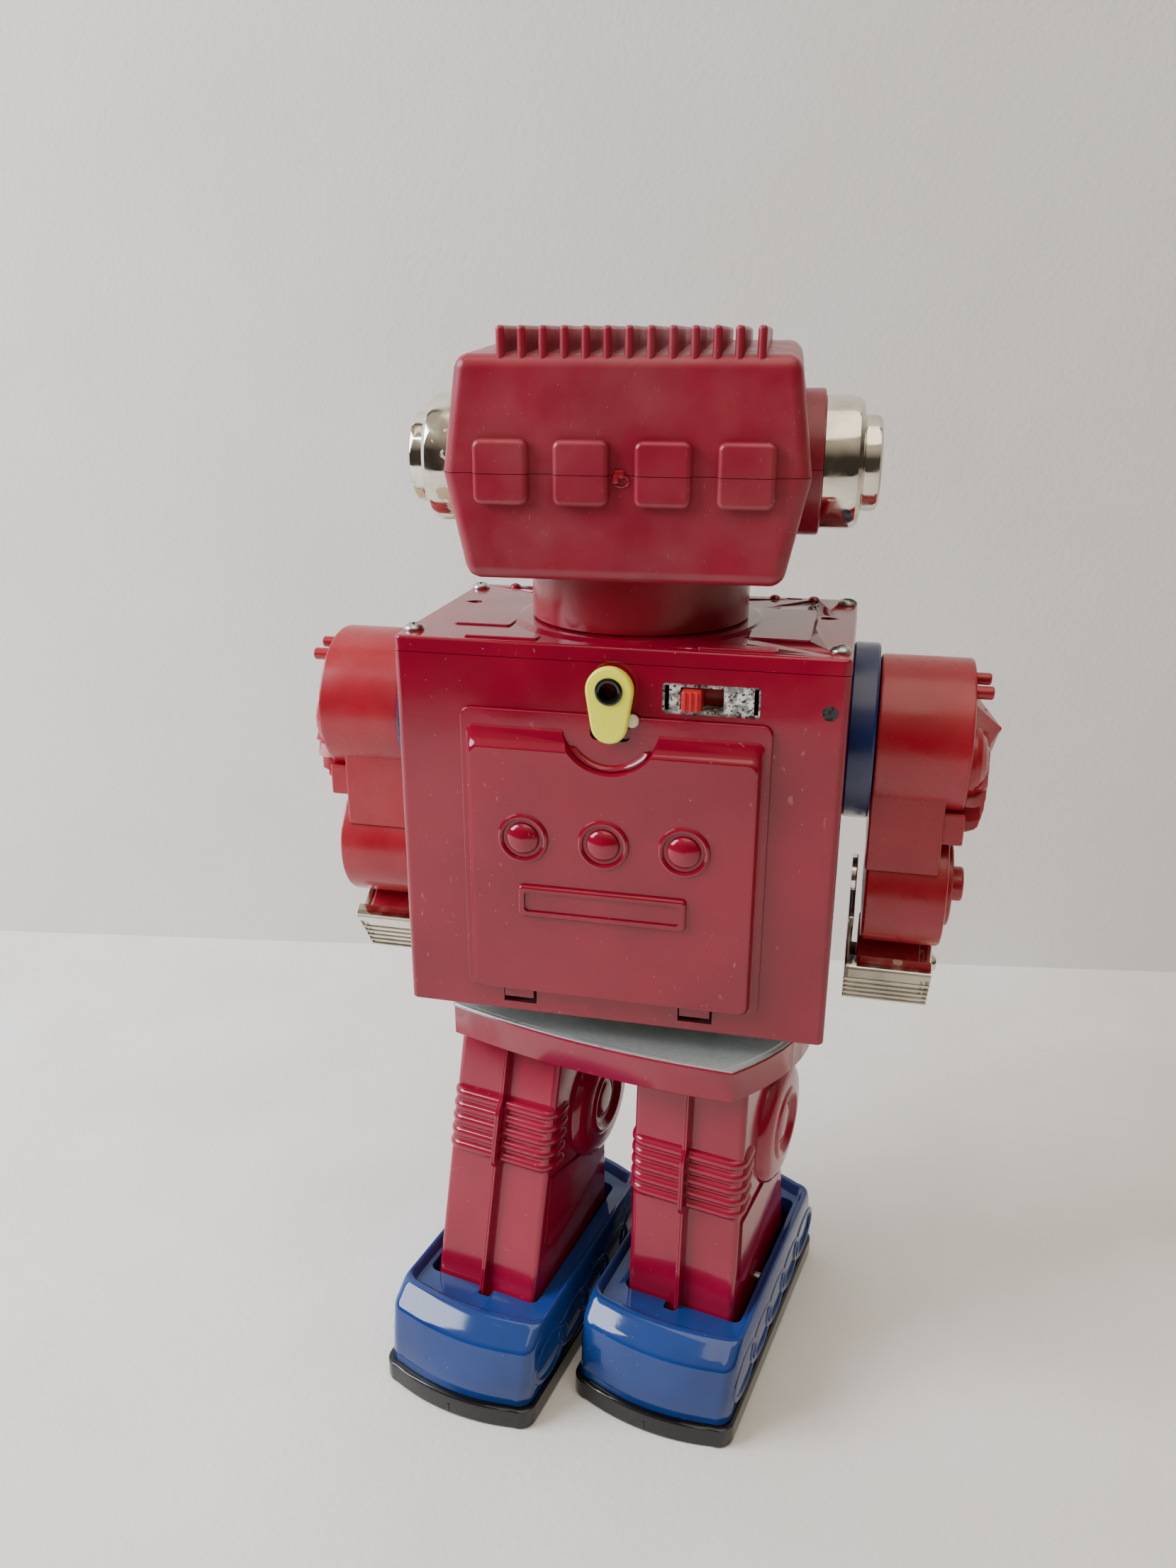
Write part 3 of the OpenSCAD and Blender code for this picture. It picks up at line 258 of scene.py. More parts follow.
class Workpiece:
    """A mesh on the bench, in millimetres, shaped by hand tools."""

    def __init__(self, obj: bpy.types.Object) -> None:
        """Takes up an object."""
        self.obj = obj

    def take(self) -> None:
        """Makes this the only selected object, and the active one."""
        bpy.ops.object.select_all(action="DESELECT")
        self.obj.select_set(True)
        bpy.context.view_layer.objects.active = self.obj

    @classmethod
    def loft(cls, rings: Sequence[Ring], ends: Ends = Ends.CAPPED) -> "Workpiece":
        """Shape extruded from ring to ring, starting from a circle.

        Args:
            rings: Rings of points, all with the same count.
            ends: Whether the ends are capped, left open or joined up.

        Returns:
            The new piece, its faces outwards.
        """
        bpy.ops.object.select_all(action="DESELECT")
        fill = "NGON" if ends is Ends.CAPPED else "NOTHING"
        bpy.ops.mesh.primitive_circle_add(
            vertices=len(rings[0]), radius=1, fill_type=fill
        )
        piece = cls(bpy.context.object)
        mesh = piece.obj.data
        for vertex, point in zip(mesh.vertices, rings[0]):
            vertex.co = point
        for before, ring in zip(rings, rings[1:]):
            bpy.ops.object.mode_set(mode="EDIT")
            bpy.ops.mesh.extrude_region_move()
            bpy.ops.object.mode_set(mode="OBJECT")
            near = KDTree(len(before))
            for i, point in enumerate(before):
                near.insert(point, i)
            near.balance()
            for vertex in mesh.vertices:
                if vertex.select:
                    vertex.co = ring[near.find(vertex.co)[1]]
        return piece.outward(merge=ends is Ends.JOINED)

    @classmethod
    def slab(
        cls,
        outline: Outline,
        z0: float,
        z1: float,
        top: float = 0.0,
        bottom: float = 0.0,
        steps: int = 4,
    ) -> "Workpiece":
        """Flat piece of one outline, its edges rolled over.

        Args:
            outline: Outline at an inset.
            z0: Height of the bottom.
            z1: Height of the top.
            top: Radius of the top edge.
            bottom: Radius of the bottom edge.
            steps: Steps round each edge.

        Returns:
            The new piece.
        """
        rings = []
        turns = [i * math.pi / 2 / steps for i in range(steps + 1)]
        if bottom:
            rings += [
                flat_ring(
                    outline(bottom * (1 - math.sin(a))), z0 + bottom * (1 - math.cos(a))
                )
                for a in turns
            ]
        else:
            rings.append(flat_ring(outline(0), z0))
        if top:
            rings += [
                flat_ring(
                    outline(top * (1 - math.cos(a))), z1 - top * (1 - math.sin(a))
                )
                for a in turns
            ]
        else:
            rings.append(flat_ring(outline(0), z1))
        return cls.loft(rings)

    @classmethod
    def turned(
        cls, profile: Sequence[Pair], count: int = 64, ends: Ends = Ends.CAPPED
    ) -> "Workpiece":
        """Shape turned on a lathe about Z.

        Args:
            profile: Radius and height of each step.
            count: Sides round the axis.
            ends: How the ends are finished.

        Returns:
            The new piece.
        """
        rings = [
            flat_ring(arc((0, 0), max(r, 0.02), 0, 360, count)[:-1], h)
            for r, h in profile
        ]
        return cls.loft(rings, ends)

    @classmethod
    def box(cls, low: Point, high: Point) -> "Workpiece":
        """Block from one corner to the other, to be bevelled or cut.

        Args:
            low: Lowest corner.
            high: Highest corner.

        Returns:
            The new piece.
        """
        bpy.ops.object.select_all(action="DESELECT")
        bpy.ops.mesh.primitive_cube_add(size=1)
        piece = cls(bpy.context.object)
        size = Vector(high) - Vector(low)
        middle = (Vector(high) + Vector(low)) / 2
        piece.obj.data.transform(
            Matrix.Translation(middle) @ Matrix.Diagonal((*size, 1))
        )
        return piece

    @classmethod
    def bead(cls, rx: float, ry: float, r: float, count: int = 40) -> "Workpiece":
        """Oval bead of round section, flat on X and Y.

        Args:
            rx: Its reach along X.
            ry: Its reach along Y.
            r: Radius of its section.
            count: Steps along it.

        Returns:
            The new piece.
        """
        bpy.ops.object.select_all(action="DESELECT")
        bpy.ops.mesh.primitive_torus_add(
            major_segments=count, minor_segments=8, major_radius=rx, minor_radius=r
        )
        piece = cls(bpy.context.object)
        piece.obj.data.transform(Matrix.Scale(ry / rx, 4, Vector((0, 1, 0))))
        return piece

    def outward(self, merge: bool = False) -> "Workpiece":
        """Points the faces outwards.

        Args:
            merge: Whether doubled points are merged first.

        Returns:
            This piece.
        """
        self.take()
        bpy.ops.object.mode_set(mode="EDIT")
        bpy.ops.mesh.select_all(action="SELECT")
        if merge:
            bpy.ops.mesh.remove_doubles(threshold=0.001)
        bpy.ops.mesh.normals_make_consistent(inside=False)
        bpy.ops.object.mode_set(mode="OBJECT")
        return self

    def apply(self, kind: str, **settings: object) -> "Workpiece":
        """Adds a modifier and applies it.

        Args:
            kind: Kind of modifier.
            **settings: Its settings.

        Returns:
            This piece.
        """
        self.take()
        modifier = self.obj.modifiers.new(kind.lower(), kind)
        for key, value in settings.items():
            setattr(modifier, key, value)
        bpy.ops.object.modifier_apply(modifier=modifier.name)
        return self

    def bevel(self, width: float, segments: int = 3, limit: float = 35) -> "Workpiece":
        """Rounds the edges that are sharper than a limit.

        Args:
            width: Width of the bevel.
            segments: Steps across it.
            limit: Angle in degrees above which an edge is rounded.

        Returns:
            This piece.
        """
        return self.apply(
            "BEVEL",
            width=width,
            segments=segments,
            limit_method="ANGLE",
            angle_limit=math.radians(limit),
        )

    def cut(self, *tools: "Workpiece") -> "Workpiece":
        """Cuts other pieces out of this one, and uses them up.

        Args:
            *tools: Pieces that are taken away.

        Returns:
            This piece.
        """
        for tool in tools:
            self.apply(
                "BOOLEAN",
                operation="DIFFERENCE",
                solver="EXACT",
                use_self=True,
                object=tool.obj,
            )
            bpy.data.objects.remove(tool.obj)
        return self

    def slice(self, height: float, keep_above: bool) -> "Workpiece":
        """Saws the piece level and closes the cut.

        Args:
            height: Height of the cut.
            keep_above: Whether the upper part is kept.

        Returns:
            This piece.
        """
        self.take()
        bpy.ops.object.mode_set(mode="EDIT")
        bpy.ops.mesh.select_all(action="SELECT")
        bpy.ops.mesh.bisect(
            plane_co=(0, 0, height),
            plane_no=(0, 0, 1),
            use_fill=True,
            clear_inner=keep_above,
            clear_outer=not keep_above,
        )
        bpy.ops.object.mode_set(mode="OBJECT")
        return self

    def join(self, *others: "Workpiece") -> "Workpiece":
        """Fixes other pieces to this one.

        Args:
            *others: Pieces that are fixed on.

        Returns:
            This piece.
        """
        self.take()
        for other in others:
            other.obj.select_set(True)
        bpy.ops.object.join()
        return self

    def copy(self) -> "Workpiece":
        """Copy with its own mesh.

        Returns:
            The copy.
        """
        twin = self.obj.copy()
        twin.data = self.obj.data.copy()
        bpy.context.scene.collection.objects.link(twin)
        return Workpiece(twin)

    def place(self, matrix: Matrix) -> "Workpiece":
        """Moves the mesh by a matrix, keeping its faces outwards.

        Args:
            matrix: The move, which may mirror.

        Returns:
            This piece.
        """
        self.obj.data.transform(matrix)
        if matrix.determinant() < 0:
            self.obj.data.flip_normals()
        return self

    def at(self, x: float, y: float, z: float) -> "Workpiece":
        """Moves the mesh."""
        return self.place(Matrix.Translation((x, y, z)))

    def settle(
        self,
        name: str,
        body: str,
        where: Matrix,
        finish: "Finish",
        slot: str,
        stands_for: Sequence[str] = (),
        smooth: float = 32,
        crisp: bool = False,
    ) -> bpy.types.Object:
        """Puts the finished piece on the robot.

        Args:
            name: Name of the piece.
            body: Body that it rides on.
            where: Frame that it was modelled in.
            finish: Its finish.
            slot: Material slot of the record. Not used.
            stands_for: CAD nodes that it is shown instead of.
            smooth: Angle in degrees up to which its faces shade smoothly.
            crisp: Whether large flats keep their own shading.

        Returns:
            The piece's object.
        """
        self.place(Matrix.Scale(MM, 4) @ where)
        self.obj.name = self.obj.data.name = name
        self.obj.data.materials.clear()
        self.obj.data.materials.append(finish.material())
        self.take()
        bpy.ops.object.shade_smooth_by_angle(angle=math.radians(smooth))
        if crisp:
            self.apply("WEIGHTED_NORMAL", keep_sharp=True, weight=80)
        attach(self.obj, body)
        if stands_for:
            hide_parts(*stands_for)
        LOG.info("%s on %s, %d faces", name, body, len(self.obj.data.polygons))
        return self.obj


# ------------------------------------------------------------------ finishes


def linear(colour: str) -> tuple[float, float, float, float]:
    """Turns an sRGB hex colour to linear light.

    Args:
        colour: The colour as #rrggbb.

    Returns:
        Red, green, blue and an alpha of 1.
    """
    parts = [int(colour[i : i + 2], 16) / 255 for i in (1, 3, 5)]
    low = [c / 12.92 if c <= 0.04045 else ((c + 0.055) / 1.055) ** 2.4 for c in parts]
    return (low[0], low[1], low[2], 1.0)


def add_node(
    tree: bpy.types.NodeTree,
    kind: str,
    inputs: Optional[dict[Union[int, str], object]] = None,
    **settings: object,
) -> bpy.types.Node:
    """Adds a node with its settings, values and links.

    Args:
        tree: Tree that it goes in.
        kind: Kind of node.
        inputs: Value, or socket to link from, of each input.
        **settings: Properties of the node.

    Returns:
        The node.
    """
    node = tree.nodes.new(kind)
    for key, value in settings.items():
        setattr(node, key, value)
    for key, value in (inputs or {}).items():
        if isinstance(value, bpy.types.NodeSocket):
            tree.links.new(value, node.inputs[key])
        else:
            node.inputs[key].default_value = value
    return node


class Recipe:
    """Node tree of one finish, written step by step."""

    def __init__(self, name: str) -> None:
        """Starts a material that reads Object coordinates.

        Args:
            name: Name of the finish.
        """
        self.material = bpy.data.materials.new(name)
        self.material.use_nodes = True
        self.tree = self.material.node_tree
        self.shader = self.tree.nodes["Principled BSDF"]
        self.where = add_node(self.tree, "ShaderNodeTexCoord").outputs["Object"]

    def noise(
        self, size: float, detail: float = 3, stretch: Point = (1, 1, 1)
    ) -> bpy.types.NodeSocket:
        """Noise.

        Args:
            size: Size of its patches in millimetres.
            detail: Number of finer layers.
            stretch: How much faster it changes along each axis.

        Returns:
            Its value, about 0.3 to 0.7.
        """
        where = self.where
        if stretch != (1, 1, 1):
            where = add_node(
                self.tree, "ShaderNodeMapping", {"Vector": where, "Scale": stretch}
            ).outputs[0]
        scale = {"Vector": where, "Scale": 1 / (size * MM), "Detail": detail}
        return add_node(self.tree, "ShaderNodeTexNoise", scale).outputs[0]

    def specks(self, pitch: float, size: float, share: float) -> bpy.types.NodeSocket:
        """Scattered round specks.

        Args:
            pitch: Distance between the places where one can be, in millimetres.
            size: Radius of a speck as a share of the pitch.
            share: Share of the places that have one.

        Returns:
            1 in a speck and 0 elsewhere.
        """
        scale = {"Vector": self.where, "Scale": 1 / (pitch * MM)}
        cells = add_node(self.tree, "ShaderNodeTexVoronoi", scale)
        near = self.span(cells.outputs["Distance"], size, size * 0.6)
        colour = add_node(
            self.tree, "ShaderNodeSeparateColor", {0: cells.outputs["Color"]}
        )
        chosen = self.span(colour.outputs[0], 1 - share, 1 - share + 0.05)
        return self.times(near, chosen)

    def span(
        self,
        value: bpy.types.NodeSocket,
        low: float,
        high: float,
        to_low: float = 0,
        to_high: float = 1,
    ) -> bpy.types.NodeSocket:
        """Stretches a span of values to another, and clamps it.

        Args:
            value: What is stretched.
            low: Start of the span.
            high: End of the span.
            to_low: What the start becomes.
            to_high: What the end becomes.

        Returns:
            The stretched value.
        """
        settings = {0: value, 1: low, 2: high, 3: to_low, 4: to_high}
        return add_node(self.tree, "ShaderNodeMapRange", settings).outputs[0]

    def band(self, axis: int, low: float, high: float) -> bpy.types.NodeSocket:
        """Where the piece lies along an axis, from 0 to 1.

        Args:
            axis: 0, 1 or 2 for X, Y or Z of the row.
            low: Place in millimetres that gives 0.
            high: Place in millimetres that gives 1.

        Returns:
            The clamped value.
        """
        split = add_node(self.tree, "ShaderNodeSeparateXYZ", {0: self.where})
        return self.span(split.outputs[axis], low * MM, high * MM)

    def times(
        self, a: bpy.types.NodeSocket, b: Union[bpy.types.NodeSocket, float]
    ) -> bpy.types.NodeSocket:
        """Product of two values.

        Args:
            a: First value.
            b: Second value.

        Returns:
            Their product.
        """
        node = add_node(
            self.tree, "ShaderNodeMath", {0: a, 1: b}, operation="MULTIPLY"
        )
        return node.outputs[0]

    def most(
        self, a: bpy.types.NodeSocket, b: bpy.types.NodeSocket
    ) -> bpy.types.NodeSocket:
        """Larger of two values."""
        node = add_node(self.tree, "ShaderNodeMath", {0: a, 1: b}, operation="MAXIMUM")
        return node.outputs[0]

    def mix(
        self, share: bpy.types.NodeSocket, a: object, b: object
    ) -> bpy.types.NodeSocket:
        """Colour between two, by a share.

        Args:
            share: Share of the second, from 0 to 1.
            a: First colour.
            b: Second colour.

        Returns:
            The mixed colour.
        """
        return add_node(
            self.tree, "ShaderNodeMix", {0: share, 6: a, 7: b}, data_type="RGBA"
        ).outputs[2]

    def bump(
        self,
        height: bpy.types.NodeSocket,
        depth: float,
        under: Optional[bpy.types.NodeSocket] = None,
    ) -> bpy.types.NodeSocket:
        """Relief.

        Args:
            height: Its height from 0 to 1.
            depth: What 1 stands for, in millimetres.
            under: Relief that it lies on.

        Returns:
            The bent normal.
        """
        inputs = {"Height": height, "Distance": depth * MM}
        if under is not None:
            inputs["Normal"] = under
        return add_node(self.tree, "ShaderNodeBump", inputs).outputs[0]

    def done(self, **sockets: object) -> bpy.types.Material:
        """Sets or links the shader's sockets.

        Args:
            **sockets: Each socket's value or source, its name in lower case.

        Returns:
            The material.
        """
        for key, value in sockets.items():
            name = key.replace("_", " ").title().replace("Ior", "IOR")
            socket = self.shader.inputs[name]
            if isinstance(value, bpy.types.NodeSocket):
                self.tree.links.new(value, socket)
            else:
                socket.default_value = value
        return self.material


class Finish:
    """A finish, whose material is made once."""

    name: str

    def material(self) -> bpy.types.Material:
        """Material of this finish."""
        found = bpy.data.materials.get(self.name)
        return found or self.brew()

    def brew(self) -> bpy.types.Material:
        """Makes the material."""
        raise NotImplementedError


@dataclass(frozen=True)
class Enamel(Finish):
    """Stoved enamel on pressed tinplate.

    It is glossy, ripples faintly with the sheet under it, and has dust, fine
    rubs and a few chips down to the dark metal.
    """

    name: str
    colour: str
    deep: str
    dust: str
    roughness: float = 0.11
    ripple: float = 0.10
    chips: float = 0.10

    def brew(self) -> bpy.types.Material:
        """Makes the material.

        Returns:
            The finished material.
        """
        r = Recipe(self.name)
        patches = r.span(r.noise(34, 2), 0.35, 0.65)
        colour = r.mix(patches, linear(self.deep), linear(self.colour))
        # Dust is drawn at about 0.3 mm, coarser than it is, so that it shows.
        dust = r.most(r.specks(2.4, 0.10, 0.14), r.specks(6.5, 0.05, 0.2))
        colour = r.mix(r.times(dust, 0.4), colour, linear(self.dust))
        rubs = r.times(
            r.span(r.noise(5, 4, (1, 9, 1)), 0.66, 0.72), r.span(r.noise(30), 0.5, 0.62)
        )
        colour = r.mix(r.times(rubs, 0.2), colour, linear(self.dust))
        chip = r.specks(17, 0.055, self.chips)
        colour = r.mix(chip, colour, linear("#2b2422"))
        gloss = r.span(
            r.noise(22, 4), 0.35, 0.7, self.roughness * 0.7, self.roughness * 1.5
        )
        peel = r.bump(r.noise(1.6, 1), 0.006)
        sheet = r.bump(r.noise(48, 1), self.ripple * 6, peel)
        return r.done(base_color=colour, roughness=gloss, normal=sheet, ior=1.52)


@dataclass(frozen=True)
class Moulded(Finish):
    """Injection-moulded plastic.

    It is duller than the enamel, with a soft grain, dust in the grain, pale
    handling haze and fine scratches.
    """

    name: str
    colour: str
    deep: str
    haze: str
    roughness: float = 0.36
    dusty: float = 0.5
    hazy: float = 0.25

    def brew(self) -> bpy.types.Material:
        """Makes the material.

        Returns:
            The finished material.
        """
        r = Recipe(self.name)
        colour = r.mix(
            r.span(r.noise(26, 3), 0.35, 0.65), linear(self.deep), linear(self.colour)
        )
        smudge = r.times(r.span(r.noise(24, 3), 0.45, 0.85), self.hazy)
        colour = r.mix(smudge, colour, linear(self.haze))
        dust = r.most(r.specks(1.3, 0.16, 0.12), r.specks(5.0, 0.05, 0.3))
        colour = r.mix(r.times(dust, self.dusty), colour, linear(self.haze))
        scratch = r.times(
            r.span(r.noise(3.2, 3, (9, 1, 1)), 0.69, 0.74),
            r.span(r.noise(24), 0.52, 0.62),
        )
        colour = r.mix(r.times(scratch, 0.5), colour, linear(self.haze))
        gloss = r.span(
            r.noise(16, 4), 0.35, 0.7, self.roughness * 0.8, self.roughness * 1.3
        )
        grain = r.bump(r.noise(0.7, 2), 0.012)
        return r.done(
            base_color=colour,
            roughness=gloss,
            normal=r.bump(r.noise(20, 1), 0.18, grain),
        )


@dataclass(frozen=True)
class Plated(Finish):
    """Vacuum-plated plastic.

    It mirrors like chrome with a faint warm haze, and is worn through to the
    cream plastic in small ragged spots.
    """

    name: str
    metal: str = "#dfd9cc"
    under: str = "#cdbd93"
    worn: float = 0.66

    def brew(self) -> bpy.types.Material:
        """Makes the material.

        Returns:
            The finished material.
        """
        r = Recipe(self.name)
        patch = r.span(r.noise(9, 6), self.worn, self.worn + 0.015)
        haze = r.span(r.noise(18), 0.4, 0.6)
        tone = r.mix(haze, linear(self.metal), linear("#bfb9ae"))
        colour = r.mix(patch, tone, linear(self.under))
        film = r.span(r.noise(6, 5), 0.4, 0.75, 0.05, 0.28)
        gloss = r.most(film, r.times(patch, 0.5))
        return r.done(
            base_color=colour,
            metallic=r.span(patch, 0, 1, 1, 0),
            roughness=gloss,
            normal=r.bump(r.noise(14, 2), 0.05),
        )


@dataclass(frozen=True)
class Metal(Finish):
    """Plain metal with stains.

    It reflects softly, streaked the way that the sheet was rolled, with darker
    stains or rust where it has tarnished.
    """

    name: str
    colour: str
    stain: str
    roughness: float = 0.3
    stained: float = 0.6
    size: float = 8
    streak: Point = (1, 1, 1)
    metallic: float = 1.0

    def brew(self) -> bpy.types.Material:
        """Makes the material.

        Returns:
            The finished material.
        """
        r = Recipe(self.name)
        spots = r.span(r.noise(self.size, 6), self.stained, self.stained + 0.1)
        streaks = r.noise(2.2, 3, self.streak)
        tone = r.mix(
            r.span(streaks, 0.35, 0.65), linear(self.colour), linear(self.stain)
        )
        share = r.times(r.span(streaks, 0.3, 0.7), 0.25)
        colour = r.mix(share, linear(self.colour), tone)
        colour = r.mix(spots, colour, linear(self.stain))
        gloss = r.span(spots, 0, 1, self.roughness, min(1, self.roughness + 0.4))
        return r.done(
            base_color=colour,
            metallic=r.span(spots, 0, 1, self.metallic, 0.3),
            roughness=gloss,
            normal=r.bump(r.noise(1.1, 3), 0.02),
        )


@dataclass(frozen=True)
class Corroded(Finish):
    """Zinc plate that has corroded.

    White bloom and black pits, about a millimetre across, cover most of the
    grey metal.
    """

    name: str

    def brew(self) -> bpy.types.Material:
        """Makes the material.

        Returns:
            The finished material.
        """
        r = Recipe(self.name)
        bloom = r.span(r.noise(2.4, 6), 0.44, 0.56)
        pits = r.span(r.noise(1.3, 5), 0.54, 0.62)
        colour = r.mix(bloom, linear("#8b8d8a"), linear("#e4e4de"))
        colour = r.mix(pits, colour, linear("#2c2a28"))
        return r.done(
            base_color=colour,
            metallic=r.span(pits, 0, 1, 0.45, 0.05),
            roughness=r.span(bloom, 0, 1, 0.45, 0.75),
            normal=r.bump(bloom, 0.12, r.bump(pits, -0.15)),
        )


@dataclass(frozen=True)
class Clear(Finish):
    """Tinted clear plastic, which lets light in and shines."""

    name: str
    colour: str
    through: float = 0.6

    def brew(self) -> bpy.types.Material:
        """Makes the material.

        Returns:
            The finished material.
        """
        r = Recipe(self.name)
        depth = r.span(r.noise(7), 0.3, 0.7)
        tone = r.mix(depth, linear(self.colour), linear("#5a2a1a"))
        colour = r.mix(r.times(r.specks(2, 0.1, 0.2), 0.4), tone, linear("#d8cfc0"))
        return r.done(
            base_color=r.mix(0.8, colour, linear(self.colour)),
            roughness=r.span(r.noise(9), 0.3, 0.7, 0.06, 0.2),
            transmission_weight=self.through,
            ior=1.49,
        )


@dataclass(frozen=True)
class Jacket(Finish):
    """Printed steel jacket of a cell, dark with a broad pale band."""

    name: str

    def brew(self) -> bpy.types.Material:
        """Makes the material.

        Returns:
            The finished material.
        """
        r = Recipe(self.name)
        band = r.times(r.band(0, -2, -1), r.band(0, 18, 17))
        colour = r.mix(band, linear("#20242c"), linear("#b88a3a"))
        colour = r.mix(r.times(r.specks(3, 0.12, 0.2), 0.4), colour, linear("#a5a19a"))
        return r.done(
            base_color=colour,
            metallic=0.3,
            roughness=r.span(r.noise(12), 0.3, 0.7, 0.22, 0.38),
        )


RED_TIN = Enamel("deep_red_enamel_on_tinplate", "#8b0d2a", "#7e0b25", "#c9a09a")
CRIMSON_TIN = Enamel("crimson_enamel_on_tinplate", "#951335", "#88102d", "#c9a09a")
BLUE_TIN = Enamel(
    "blue_enamel_on_tinplate", "#1a3c7e", "#15336e", "#8fa3c4", 0.08, 0.08, 0.05
)
HEAD_RED = Moulded(
    "dull_maroon_moulded_plastic", "#8e1a30", "#84172c", "#b98a86", 0.36, 0.5, 0.14
)
NECK_RED = Moulded(
    "shiny_red_moulded_plastic", "#971529", "#8b1124", "#b97d78", 0.2, 0.5, 0.06
)
ARM_RED = Moulded(
    "waxy_red_moulded_plastic", "#a0162a", "#951325", "#c7706a", 0.26, 0.25, 0.12
)
NAVY = Moulded("navy_moulded_plastic", "#1d2c63", "#172351", "#6e7695", 0.25, 0.4, 0.15)
BLACK = Moulded(
    "gloss_black_moulded_plastic", "#0d0d0f", "#09090a", "#5d5b58", 0.14, 0.35, 0.06
)
MATT_BLACK = Moulded(
    "satin_black_moulded_plastic", "#18181a", "#121213", "#5a5856", 0.4, 0.3, 0.1
)
YELLOW = Moulded(
    "pale_yellow_moulded_plastic", "#f2f03e", "#eae838", "#f6f4cf", 0.34, 0.1, 0.05
)
CREAM = Moulded(
    "cream_moulded_plastic", "#e2dcc6", "#d6cfb6", "#f5f2e6", 0.4, 0.3, 0.2
)
KNOB_RED = Moulded(
    "bright_red_moulded_plastic", "#c41a24", "#b0161f", "#d98a84", 0.35, 0.3, 0.2
)
CHROME = Plated("vacuum_plated_plastic")
WORN_CHROME = Plated("worn_vacuum_plated_plastic", worn=0.6)
STEEL = Metal("bright_steel", "#b9bab8", "#6b5a48", 0.28, 0.66, 5)
RUSTY = Metal("rusted_steel", "#9c9a94", "#4a3a2c", 0.35, 0.5, 3)
TINPLATE = Metal(
    "bare_tinplate", "#c3c8c8", "#4a4a47", 0.3, 0.66, 14, (1, 6, 1), 0.55
)
BRASS = Metal("brass_sheet", "#c2a052", "#6e5526", 0.3, 0.62, 6)
ZINC = Corroded("corroded_zinc_plate")
DARK_SPOT = Metal(
    "darkened_bare_tin", "#3c3b3a", "#1b1a1a", 0.5, 0.5, 1.5, metallic=0.4
)
LENS = Clear("clear_amber_plastic", "#d9a63a", 0.55)
CELL = Jacket("printed_cell_jacket")


def dress(node: str, finish: Finish) -> None:
    """Gives a CAD node that is shown a finish.

    Args:
        node: Name of the CAD node.
        finish: Its finish.
    """
    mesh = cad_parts[node].data
    mesh.materials.clear()
    mesh.materials.append(finish.material())
    LOG.info("%s dressed in %s", node, finish.name)


# ------------------------------------------------------------------ stage


